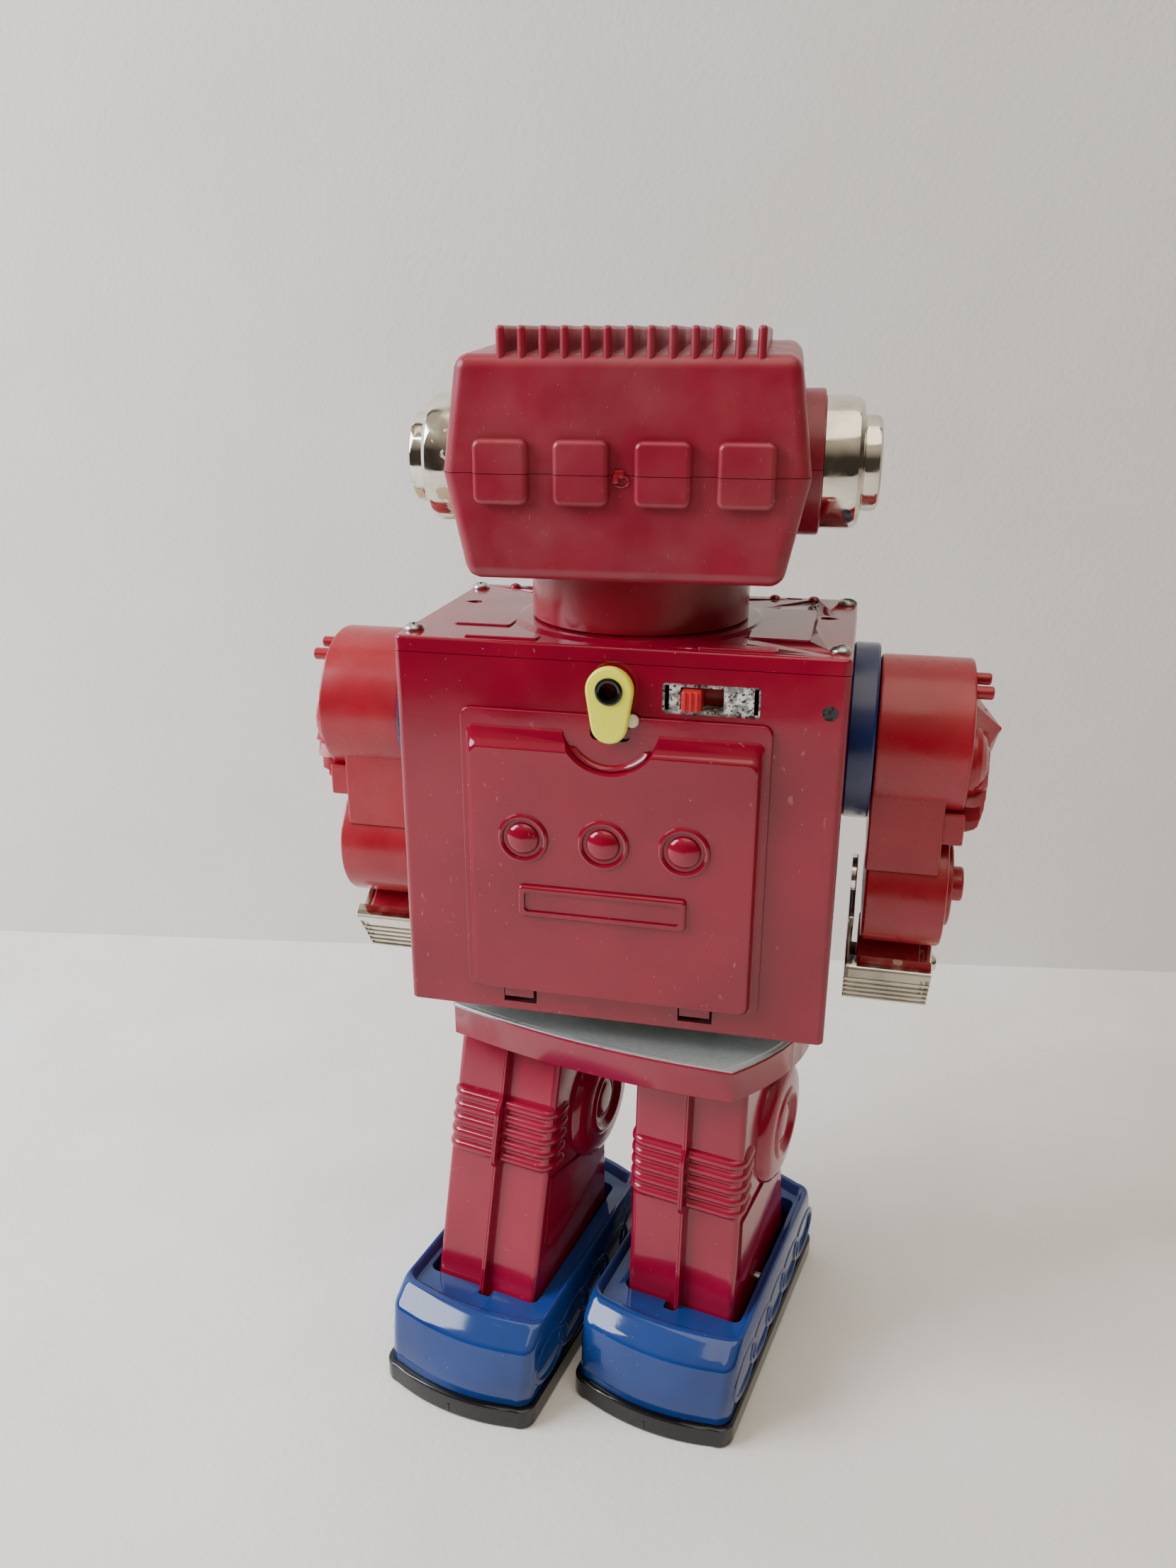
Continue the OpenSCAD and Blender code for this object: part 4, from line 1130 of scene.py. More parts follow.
@dataclass
class Studio:
    """Camera, lights, pale floor and wall."""

    yaw: float = 0.429
    pitch: float = 0.350
    roll: float = math.radians(0.10)
    eye: Point = (-0.16472, 0.38697, 0.39488)
    focal: float = 36 * 1704.2 / 1659
    wall_through: Pair = (0.0, -0.344)
    wall_yaw: float = math.radians(20.5)
    floor_end: float = 0.95
    board_size: float = 8.0
    dark_below: float = 0.25
    bright_above: float = 0.6

    def camera(self) -> None:
        """Stands the camera behind the robot, above and to its right."""
        data = bpy.data.cameras.new("camera")
        camera = bpy.data.objects.new("camera", data)
        bpy.context.scene.collection.objects.link(camera)
        bpy.context.scene.camera = camera
        ahead = Vector((math.sin(self.yaw), -math.cos(self.yaw), 0))
        right = Vector((-math.cos(self.yaw), -math.sin(self.yaw), 0))
        up = Vector((0, 0, 1))
        look = math.cos(self.pitch) * ahead - math.sin(self.pitch) * up
        top = math.sin(self.pitch) * ahead + math.cos(self.pitch) * up
        x = math.cos(self.roll) * right + math.sin(self.roll) * top
        y = math.cos(self.roll) * top - math.sin(self.roll) * right
        axes = Matrix((x, y, -look)).transposed().to_4x4()
        camera.matrix_world = Matrix.Translation(self.eye) @ axes
        data.sensor_fit = "HORIZONTAL"
        data.sensor_width = 36
        data.lens = self.focal

    def lamp(
        self, name: str, at: Point, size: float, power: float, colour: str
    ) -> None:
        """Soft square lamp that looks at the robot.

        Args:
            name: Its name.
            at: Where it hangs, in metres.
            size: Its width in metres.
            power: Its power in watts.
            colour: Its colour.
        """
        data = bpy.data.lights.new(name, "AREA")
        data.energy = power
        data.size = size
        data.color = linear(colour)[:3]
        obj = bpy.data.objects.new(name, data)
        bpy.context.scene.collection.objects.link(obj)
        aim = Vector((0, 0, 0.2)) - Vector(at)
        obj.matrix_world = Matrix.Translation(at) @ aim.to_track_quat(
            "-Z", "Y"
        ).to_matrix().to_4x4()

    def lights(self) -> None:
        """Window light from the left, a weaker fill, and a room dark low down."""
        self.lamp("window", (1.1, 0.75, 1.0), 0.9, 37, "#f1f6ff")
        self.lamp("ceiling", (-0.3, 0.3, 1.7), 1.4, 13, "#fff2de")
        world = bpy.data.worlds.new("room")
        bpy.context.scene.world = world
        world.use_nodes = True
        tree = world.node_tree
        way = add_node(tree, "ShaderNodeTexCoord").outputs["Generated"]
        up = add_node(tree, "ShaderNodeSeparateXYZ", {0: way}).outputs[2]
        low, high = self.dark_below, self.bright_above
        settings = {0: up, 1: low, 2: high}
        share = add_node(tree, "ShaderNodeMapRange", settings).outputs[0]
        colours = {0: share, 6: linear("#5f564e"), 7: linear("#fff0d8")}
        sky = add_node(tree, "ShaderNodeMix", colours, data_type="RGBA").outputs[2]
        room = tree.nodes["Background"]
        tree.links.new(sky, room.inputs["Color"])
        room.inputs["Strength"].default_value = 0.6

    def paper(self, name: str, colour: str, one_sided: bool) -> bpy.types.Material:
        """Matt painted board.

        Args:
            name: Name of the material.
            colour: Its colour.
            one_sided: Whether it is clear from behind, so that the robot can be
                seen from the front as well.

        Returns:
            The material.
        """
        r = Recipe(name)
        tone = r.mix(r.span(r.noise(90), 0.3, 0.7), linear(colour), linear("#e2e0dc"))
        r.done(
            base_color=tone, roughness=0.8, normal=r.bump(r.noise(3, 5), 0.3)
        )
        if one_sided:
            side = add_node(r.tree, "ShaderNodeNewGeometry").outputs["Backfacing"]
            clear = add_node(r.tree, "ShaderNodeBsdfTransparent").outputs[0]
            both = add_node(
                r.tree,
                "ShaderNodeMixShader",
                {0: side, 1: r.shader.outputs[0], 2: clear},
            )
            out = r.tree.nodes["Material Output"]
            r.tree.links.new(both.outputs[0], out.inputs["Surface"])
        return r.material

    def board(
        self, name: str, where: Matrix, material: bpy.types.Material
    ) -> None:
        """Large flat board of the stage.

        Args:
            name: Its name.
            where: Its frame, with its face towards +Z.
            material: Its finish.
        """
        bpy.ops.object.select_all(action="DESELECT")
        bpy.ops.mesh.primitive_plane_add(size=self.board_size)
        obj = bpy.context.object
        obj.name = name
        obj.data.transform(where)
        obj.data.materials.append(material)

    def boards(self) -> None:
        """Floor under the robot and wall beyond it."""
        self.board(
            "floor",
            Matrix.Translation((0, self.floor_end - self.board_size / 2, 0)),
            self.paper("pale_floor", "#ebebea", False),
        )
        stand = Matrix.Translation((*self.wall_through, 0)) @ Matrix.Rotation(
            self.wall_yaw, 4, "Z"
        )
        upright = Matrix.Rotation(math.radians(-90), 4, "X")
        self.board("wall", stand @ upright, self.paper("pale_wall", "#e6e6e3", True))

    def build(self) -> None:
        """Makes the whole stage."""
        self.camera()
        self.lights()
        self.boards()


# ------------------------------------------------------------------ head


@dataclass
class Head:
    """Moulded head in two halves, with its fins, ears, neck and face."""

    bottom: float = 323.0
    seam: float = 356.5
    half_bottom: float = 50.6
    half_seam: float = 57.8
    half_top: float = 50.2
    half_depth: float = 52.5
    taper_end: float = 410.0
    side_view: tuple[Pair, ...] = (
        (52.5, 323), (52.5, 356.5), (52.5, 391.7), (-8, 396), (-48.5, 384),
        (-52.5, 376), (-52.5, 356.5), (-52.5, 323),
    )
    face_low: Point = (-42.3, -60.0, 330.7)
    face_high: Point = (42.3, -49.0, 376.3)
    edge: float = 4.2
    ear_z: float = 356.8
    ear_r: float = 22.0
    fins: int = 13
    fin_pitch: float = 6.6
    fin_shift: float = -1.4
    fin_top: float = 400.0
    neck_r: float = 39.0
    lid_top: float = 301.4
    eyes: tuple[float, float] = (-19.0, 19.0)
    eye_up: float = 4.5
    mouth_up: float = -13.2
    mouth_pitch: float = 7.0
    face_z: float = 353.5
    square_pitch: float = 25.5
    square_z: float = 357.0
    body: str = "head"

    def half_width(self, z: float) -> float:
        """Half the head's width at a height.

        Args:
            z: The height.

        Returns:
            The half width.
        """
        if z <= self.seam:
            share = (z - self.bottom) / (self.seam - self.bottom)
            return self.half_bottom + (self.half_seam - self.half_bottom) * share
        share = (z - self.seam) / (self.taper_end - self.seam)
        return self.half_seam + (self.half_top - self.half_seam) * share

    def casing(self) -> Workpiece:
        """Whole casing with rounded edges, not yet parted.

        Returns:
            The casing.
        """
        rings = [
            [(side * self.half_width(z), y, z) for y, z in self.side_view]
            for side in (-1, 1)
        ]
        shell = Workpiece.loft(rings)
        shell.take()
        bpy.ops.object.mode_set(mode="EDIT")
        bpy.ops.mesh.select_all(action="SELECT")
        bpy.ops.mesh.bisect(plane_co=(0, 0, self.seam), plane_no=(0, 0, 1))
        bpy.ops.object.mode_set(mode="OBJECT")
        shell.bevel(self.edge, 6, 45)
        return shell.cut(Workpiece.box(self.face_low, self.face_high).bevel(1.5, 3))

    def squares(self) -> list[Workpiece]:
        """Four raised squares across the rear.

        Returns:
            The squares.
        """
        out = []
        first = Workpiece.slab(rounded(8.8, 10, 2.6), 0, 3.4, top=1.7)
        first.place(ON_REAR).outward()
        for i in range(4):
            x = (i - 1.5) * self.square_pitch
            out.append(first.copy().at(x, self.half_depth - 0.4, self.square_z))
        bpy.data.objects.remove(first.obj)
        return out

    def bosses(self) -> list[Workpiece]:
        """Round boss under each ear.

        Returns:
            The bosses.
        """
        profile = [(24.2, 0), (24.2, 12.4), (23.9, 13.1), (23.2, 13.4)]
        out = []
        for side in Side:
            boss = Workpiece.turned(profile, 72)
            boss.place(ON_SIDE).at(48, 0, self.ear_z).place(STANCE.mirror(side))
            out.append(boss)
        return out

    def fin_row(self) -> list[Workpiece]:
        """Cooling fins along the top, rounded at the rear and along their tops.

        Returns:
            The fins.
        """
        half = 1.4
        front, rear = -8.0, 51.4
        top_end = [(x, rear - half + y) for x, y in arc((0, 0), half, 0, 180, 8)]
        low_end = [(x, front + half + y) for x, y in arc((0, 0), half, 180, 360, 8)]
        fin = Workpiece.slab(
            shrunk(top_end + low_end), 388.5, self.fin_top, top=1.2, steps=4
        )
        out = []
        for i in range(self.fins):
            x = (i - (self.fins - 1) / 2) * self.fin_pitch + self.fin_shift
            out.append(fin.copy().at(x, 0, 0))
        bpy.data.objects.remove(fin.obj)
        return out

    def gate(self) -> Workpiece:
        """Torn stub of plastic where the mould was filled.

        Returns:
            The stub.
        """
        stub = Workpiece.slab(rounded(1.8, 1.3, 0.8, 2), 0, 1.1, top=0.5, steps=2)
        blob = Workpiece.slab(rounded(1.0, 1.5, 0.7, 2), 0, 1.5, top=0.5, steps=2)
        ring = Workpiece.bead(2.4, 1.7, 0.35, 20)
        stub.join(blob.at(0.9, -1.4, 0), ring.at(-0.7, -2.2, 0.3))
        return stub.place(ON_REAR).outward().at(0.9, self.half_depth - 0.1, 356.9)

    def casings(self) -> None:
        """Parts the casing and settles both halves."""
        whole = self.casing().join(*self.squares(), *self.bosses())
        lower = whole.copy().slice(self.seam - 0.1, keep_above=False)
        upper = whole.slice(self.seam + 0.1, keep_above=True)
        upper.join(*self.fin_row())
        where = STANCE.head()
        upper.settle(
            "upper_casing", self.body, where, HEAD_RED, "dull_red_plastic",
            ["head_upper"], crisp=True,
        )
        lower.settle(
            "lower_casing", self.body, where, HEAD_RED, "dull_red_plastic",
            ["head_lower"], crisp=True,
        )
        self.gate().settle(
            "gate_scar", self.body, where, ARM_RED, "dull_red_plastic"
        )

    def ears(self) -> None:
        """Stepped plated ears."""
        r = self.ear_r
        profile = [
            (14, -5), (14, 0), (r - 0.3, 0), (r, 0.4), (r, 9.6), (r - 0.5, 11.4),
            (r - 1.7, 12.7), (r - 3.4, 13.2), (16.6, 13.2), (16.0, 13.6), (15.8, 14.2),
            (15.8, 17.2), (15.4, 18.4), (14.4, 19.1), (12.6, 19.3), (11.5, 18.9),
        ]
        for side in Side:
            ear = Workpiece.turned(profile, 80)
            ear.place(ON_SIDE).at(61.3, 0, self.ear_z).place(STANCE.mirror(side))
            finish = WORN_CHROME if side is Side.LEFT else CHROME
            ear.settle(
                f"{side.word}_ear_cap", self.body, STANCE.head(), finish,
                "plated_plastic", [f"{side.word}_ear"], smooth=24,
            )

    def neck(self) -> None:
        """Neck drum with its spigot and flange."""
        low = self.lid_top + 1.5
        profile = [
            (27, self.lid_top - 5), (34, self.lid_top - 5), (34, self.lid_top - 1.5),
            (30, self.lid_top - 1.5), (30, low), (self.neck_r - 0.5, low),
            (self.neck_r, low + 0.5), (self.neck_r, 322.6), (36, 323), (36, 328),
            (34, 328), (34, 305.4), (27, 305.4), (27, self.lid_top - 5),
        ]
        drum = Workpiece.turned(profile, 112, Ends.JOINED)
        drum.settle(
            "neck_drum", self.body, STANCE.head(), NECK_RED, "red_plastic",
            ["neck_collar"], smooth=24,
        )

    def face(self) -> None:
        """Dark face plate with eye sockets, mouth slots and lenses."""
        plate = Workpiece.slab(rounded(41.8, 22.3, 3), 0, 3.4, top=1.2)
        rim = Workpiece.slab(rounded(38.5, 19, 2.5), 0, 6, top=0.1)
        plate.cut(rim.at(0, 0, 2.2))
        for x in self.eyes:
            ring = Workpiece.turned(
                [(9, 0), (13, 0), (12.4, 3.2), (11.4, 4), (10.2, 3.6), (9, 1), (9, 0)],
                56, Ends.JOINED,
            )
            hole = Workpiece.turned([(9.05, -5), (9.05, 9)], 56)
            plate.cut(hole.at(x, self.eye_up, 0))
            plate.join(ring.at(x, self.eye_up, 0.6))
        for i in range(-3, 4):
            slot = Workpiece.slab(rounded(1.5, 4.6, 1.4, 3), -3, 9)
            plate.cut(slot.at(i * self.mouth_pitch, self.mouth_up, 0))
        plate.place(ON_FRONT).outward().at(0, -49.2, self.face_z)
        plate.settle(
            "face_plate", self.body, STANCE.head(), BLACK, "black_plastic",
            ["face_visor"], crisp=True,
        )
        lenses = []
        for x in self.eyes:
            dome = [(8.9, 0), (8.9, 3.4), (8.3, 4.4), (6.6, 5.4), (4, 6.1), (1.2, 6.4)]
            lenses.append(Workpiece.turned(dome, 56).place(ON_FRONT).outward())
            lenses[-1].at(x, -48, self.face_z + self.eye_up)
        lenses[0].join(lenses[1])
        lenses[0].settle(
            "eye_domes", self.body, STANCE.head(), LENS, "lens", ["eye_lenses"]
        )

    def build(self) -> None:
        """Makes the head."""
        self.casings()
        self.ears()
        self.neck()
        self.face()


# ------------------------------------------------------------------ body


@dataclass
class Body:
    """Tin wall, lid and screws of the body."""

    half_w: float = 76.9
    half_d: float = 48.8
    bottom: float = 161.4
    lid_bottom: float = 295.9
    lid_top: float = 301.4
    corner: float = 2.5
    tin: float = 1.0
    screw_x: float = 72.8
    screw_y: float = 38.6
    bay_half_w: float = 48.0
    bay_low: float = 176.0
    bay_high: float = 270.2
    switch: Pair = (-32.6, 285.25)
    chest_z: float = 229.0
    tab_x: Pair = (34.0, -31.0)
    spot: Pair = (-71.0, 283.5)
    body: str = "torso"

    def openings(self) -> list[Workpiece]:
        """Everything that is cut through the wall.

        Returns:
            The cutting pieces.
        """
        d = self.half_d
        holes = [
            Workpiece.box(
                (-self.bay_half_w, d - 5, self.bay_low),
                (self.bay_half_w, d + 5, self.bay_high),
            ),
            Workpiece.slab(rounded(16.1, 5.25, 1, 3), -5, 5)
            .place(ON_REAR).outward().at(self.switch[0], d, self.switch[1]),
            Workpiece.slab(rounded(46, 39, 2, 3), -5, 5)
            .place(ON_REAR).outward().at(0, -d, self.chest_z),
        ]
        holes += [
            Workpiece.box((x - 6.2, d - 5, 164.8), (x + 6.2, d + 5, 170.4))
            for x in self.tab_x
        ]
        return holes

    def wall(self) -> None:
        """Wrap-round wall, rolled in along its lower edge."""
        outline = rounded(self.half_w, self.half_d, self.corner, 6)
        rings = [
            flat_ring(outline(1.0), self.bottom + 0.5),
            flat_ring(outline(0.3), self.bottom),
            flat_ring(outline(0.0), self.bottom + 0.5),
            flat_ring(outline(0.0), self.lid_bottom),
        ]
        shell = Workpiece.loft(rings, Ends.OPEN)
        shell.apply("SOLIDIFY", thickness=self.tin, offset=-1)
        shell.cut(*self.openings())
        shell.settle(
            "body_wall", self.body, STANCE.torso(), RED_TIN, "red_tin",
            ["torso_shell"], crisp=True,
        )
        spot = Workpiece.slab(shrunk(arc((0, 0), 2.6, 0, 330, 11)), 0, 0.06)
        spot.place(ON_REAR).outward().at(self.spot[0], self.half_d, self.spot[1])
        spot.settle("bare_spot", self.body, STANCE.torso(), DARK_SPOT, "steel")

    def lid(self) -> None:
        """Pressed lid, with its raised panels, slots, domes and neck ring."""
        top = self.lid_top
        outline = rounded(self.half_w - 0.1, self.half_d - 0.1, self.corner, 6)
        lid = Workpiece.slab(outline, self.lid_bottom + 0.2, top, top=1.1)
        ring = Workpiece.turned(
            [(47, top - 2), (47, top - 0.1), (45.8, top + 0.3), (43.6, top + 1.1),
             (42.9, top + 1.2), (30, top + 1.2), (30, top - 2)], 96,
        )
        lid.join(ring)
        bore = [(30.05, self.lid_bottom - 2), (30.05, top + 5)]
        lid.cut(Workpiece.turned(bore, 96))
        for side in (1, -1):
            panel = Workpiece.slab(
                rounded(10.5, 25, 1.5, 3), top - 1, top + 0.6, top=0.5
            )
            lid.join(panel.at(side * 52, 2, 0))
            ridge = Workpiece.slab(
                rounded(13, 3.2, 1.2, 3), top - 1, top + 0.7, top=0.5
            )
            lid.join(ridge.at(side * 40, 42, 0))
            drop = [(4.4, 0.0)] + arc((0, 0), 2.5, 50, 310, 10)
            slot = Workpiece.slab(shrunk(drop), top - 3, top + 3)
            lid.cut(slot.place(STANCE.mirror(Side(side))).at(side * 66.5, -12, 0))
            for x in (60, 45):
                dome = Workpiece.turned(
                    [(2.3, -1), (2.3, 0.2), (1.9, 0.9), (1.0, 1.4), (0.2, 1.5)], 20
                )
                lid.join(dome.at(side * x, -44.3, top))
            nick = Workpiece.slab(rounded(3.2, 1.2, 1.1, 4), -3, 3)
            lid.cut(nick.at(side * 52.5, -45.2, top))
        lid.settle(
            "body_lid", self.body, STANCE.torso(), RED_TIN, "red_tin",
            ["torso_lid"], crisp=True,
        )

    def screws(self) -> None:
        """Cross-head pan screws, one of them rusty."""
        head = Workpiece.turned(
            [(1.5, -10), (1.5, 0), (3.5, 0), (3.6, 0.3), (3.4, 1.0), (2.8, 1.7),
             (1.8, 2.15), (0.4, 2.3)], 32,
        )
        for turn in (0, 90):
            blade = Workpiece.slab(rounded(1.9, 0.42, 0.3, 2), 1.1, 4)
            head.cut(blade.place(Matrix.Rotation(math.radians(turn + 20), 4, "Z")))
        rest = []
        for i, (x, y) in enumerate(((1, 1), (-1, 1), (1, -1), (-1, -1))):
            screw = head.copy().place(Matrix.Rotation(i * 0.7, 4, "Z"))
            screw.at(x * self.screw_x, y * self.screw_y, self.lid_top)
            if i == 3:
                screw.settle(
                    "rusty_lid_screw", self.body, STANCE.torso(), RUSTY, "steel"
                )
            else:
                rest.append(screw)
        bpy.data.objects.remove(head.obj)
        rest[0].join(*rest[1:])
        rest[0].settle(
            "bright_lid_screws", self.body, STANCE.torso(), STEEL, "steel",
            ["lid_screws"], smooth=40,
        )

    def build(self) -> None:
        """Makes the body."""
        self.wall()
        self.lid()
        self.screws()
        dress("torso_base", TINPLATE)
        dress("waist_bearing", BRASS)


@dataclass
class BatteryDoor:
    """Pressed door with its panel, thumb scoop, bosses, bar and catch."""

    face: float = 49.1
    half_w: float = 53.4
    low: float = 171.0
    high: float = 278.2
    panel_high: float = 272.8
    latch: Pair = (0.5, 287.6)
    scoop: Pair = (0.5, 275.8)
    bosses: tuple[float, ...] = (30.5, 2.0, -26.0)
    boss_z: float = 233.0
    bar: Pair = (2.5, 209.5)
    tab_x: Pair = (34.0, -31.0)

    def panel(self) -> Workpiece:
        """Raised panel with sloping sides and a step along its top.

        Returns:
            The panel.
        """
        middle = (self.low + self.panel_high) / 2
        half_h = (self.panel_high - self.low) / 2
        rings = []
        for w, top, bottom, z in (
            (51.4, 0, 0.4, 0), (51.2, 0.3, 0.5, 1.4), (50.6, 1.2, 0.9, 1.9),
            (50.2, 4.6, 1.2, 2.6), (49.9, 6.2, 1.5, 3.9), (49.5, 6.9, 1.9, 4.5),
            (48.8, 7.6, 2.6, 4.7),
        ):
            outline = rounded(w, half_h - (top + bottom) / 2, 3.0, 5)(0)
            shift = (bottom - top) / 2
            rings.append([(x, y + shift, z) for x, y in outline])
        return Workpiece.loft(rings).at(0, middle, 0)

    def leaf(self) -> Workpiece:
        """Whole door, flat, with its front towards +Z.

        Returns:
            The door.
        """
        flange = Workpiece.slab(
            rounded(self.half_w, (self.high - self.low) / 2, 3.5), 0, 1.2, top=0.5
        )
        flange.at(0, (self.high + self.low) / 2, 0)
        panel = self.panel()
        x, z = self.scoop
        panel.cut(Workpiece.turned([(16.8, 1.25), (19, 9)], 56).at(x, z, 0))
        lip = [
            (17.4, 0), (17.2, 1.9), (16.3, 2.6), (15.4, 2.1), (14.8, 1.1), (14.8, 0),
        ]
        rim = Workpiece.turned(lip + [lip[0]], 64, Ends.JOINED).at(x, z, 0.3)
        rim.cut(Workpiece.box((-30, 266.5, -3), (30, 300, 9)))
        way = Workpiece.slab(rounded(7, 6, 2.4, 4), -3, 9).at(x, z - 0.2, 0)
        panel.cut(way.copy())
        flange.cut(way)
        flange.join(panel, rim)
        dome = [
            (5.9, -0.5), (5.9, 0.4), (5.4, 1.3), (4.2, 2.0), (2.5, 2.5), (0.4, 2.7),
        ]
        for x in self.bosses:
            boss = Workpiece.turned(dome, 40)
            ring = Workpiece.bead(8.1, 8.1, 1.1, 48)
            flange.join(boss.at(x, self.boss_z, 4.6), ring.at(x, self.boss_z, 4.7))
        bar = Workpiece.slab(rounded(30, 6.0, 1.8), 0, 2.4, top=1.1)
        groove = Workpiece.slab(rounded(27.6, 3.8, 1.2), 1.5, 3.4)
        return flange.join(bar.cut(groove).at(*self.bar, 4.0))

    def tabs(self) -> list[Workpiece]:
        """Hooked hinge tabs.

        Returns:
            The tabs and their pins.
        """
        out = []
        for x in self.tab_x:
            tab = Workpiece.box((x - 5.5, 49.1, 167.6), (x + 5.5, 50.3, 172)).bevel(0.4)
            pin = Workpiece.turned([(1.2, -5.5), (1.2, 5.5)], 20).place(ON_SIDE)
            hook = Workpiece.box((x - 5.5, 48.3, 167.6), (x + 5.5, 50.0, 168.8))
            out += [tab, pin.at(x, 48.3, 168.2), hook.bevel(0.3)]
        return out

    def catch(self) -> None:
        """Yellow teardrop catch on its black tubular rivet."""
        large, small, apart = 8.1, 6.2, 12
        a = math.degrees(math.asin((large - small) / apart))
        drop = arc((0, 0), large, -a, 180 + a, 24)
        drop += arc((0, -apart), small, 180 + a, 360 - a, 18)
        catch = Workpiece.slab(shrunk(drop), 0, 3, top=1.0, bottom=0.5)
        catch.cut(Workpiece.turned([(4.05, -3), (4.05, 6)], 40))
        where = Matrix.Translation((self.latch[0], 50.8, self.latch[1])) @ ON_REAR
        catch.settle(
            "catch", "door_latch", STANCE.torso() @ where, YELLOW, "yellow_plastic",
            ["door_latch"], crisp=True,
        )
        rivet = Workpiece.turned(
            [(2.8, -4), (2.8, 3.0), (3.1, 3.5), (3.9, 3.75), (4.6, 3.5), (4.7, 3.1),
             (4.0, 3.05), (4.0, -0.2), (6.4, -0.3), (6.4, -1.7), (4, -1.9), (4, -4),
             (2.8, -4)], 48, Ends.JOINED,
        )
        rivet.settle(
            "catch_rivet", "torso", STANCE.torso() @ where, BLACK, "black_plastic",
            ["latch_eyelet"],
        )
        nub = Workpiece.turned(
            [(2.3, 0), (2.3, 0.8), (1.9, 1.4), (1.0, 1.8), (0.2, 1.9)], 24
        )
        at = Matrix.Translation((-6.9, self.face + 1.1, 277.2)) @ ON_REAR
        nub.settle(
            "catch_stop", "battery_door", STANCE.torso() @ at, CREAM, "cream_plastic"
        )

    def build(self) -> None:
        """Makes the door and its catch."""
        leaf = self.leaf().place(ON_REAR).outward().at(0, self.face, 0)
        leaf.join(*self.tabs())
        leaf.settle(
            "door_leaf", "battery_door", STANCE.torso(), RED_TIN, "red_tin",
            ["battery_door"], crisp=True,
        )
        self.catch()


@dataclass
class SlideSwitch:
    """Slide switch in the rear wall."""

    centre: Point = (-32.6, 46.7, 285.2)
    plate_half: Pair = (19.1, 7.2)
    window_half: Pair = (7.2, 3.9)
    window_shift: float = 3.1
    gap_x: float = 14.7
    knob_low: Point = (-29.7, 41.0, 281.8)
    knob_high: Point = (-23.1, 51.6, 288.6)
    ridge_pitch: float = 2.0

    def build(self) -> None:
        """Makes the plate and the knob."""
        plate = Workpiece.slab(rounded(*self.plate_half, 0.8, 3), 0, 1.1, top=0.2)
        window = Workpiece.slab(rounded(*self.window_half, 0.4, 2), -3, 5)
        plate.cut(window.at(self.window_shift, 0, 0))
        case = Workpiece.box((-7.4, -4.7, -9), (14.6, 4.7, 0)).bevel(0.5)
        case.cut(Workpiece.box((-4.1, -3.9, -7.5), (10.3, 3.9, 3)))
        plate.join(case)
        for x in (-self.gap_x, self.gap_x):
            gap = Workpiece.slab(rounded(0.75, 4.4, 0.3, 2), -3, 5)
            plate.cut(gap.at(x, 0, 0))
        where = Matrix.Translation(self.centre) @ ON_REAR
        plate.settle(
            "switch_cover", "torso", STANCE.torso() @ where, ZINC, "zinc",
            ["switch_plate"],
        )
        bed = Workpiece.box((-36.5, 39.3, 281.5), (-22.5, 40.5, 288.9)).bevel(0.3, 2)
        bed.settle("switch_bed", "torso", STANCE.torso(), KNOB_RED, "switch_red")
        knob = Workpiece.box(self.knob_low, self.knob_high).bevel(0.6, 3)
        for i in (-1, 0, 1):
            x = -26.85 + i * self.ridge_pitch
            ridge = Workpiece.box((x, 51, 281.9), (x + 0.9, 52.2, 288.5))
            knob.join(ridge.bevel(0.3, 2))
        knob.settle(
            "switch_knob", "switch_slider", STANCE.torso(), KNOB_RED, "switch_red",
            ["switch_slider"], crisp=True,
        )


@dataclass
class Power:
    """Cells, contacts and drive inside the body."""

    inside: tuple[tuple[str, Finish], ...] = (
        ("battery_box", CREAM), ("battery_cells", CELL), ("battery_contacts", BRASS),
        ("gearbox_frame", STEEL), ("motor_case", STEEL), ("motor_rotor", BRASS),
        ("first_gear", CREAM), ("second_gear", CREAM), ("drive_shaft", BRASS),
        ("turning_pinion", BRASS), ("turntable_gear", CREAM),
    )

    def build(self) -> None:
        """Dresses the parts that the CAD gives."""
        for node, finish in self.inside:
            dress(node, finish)


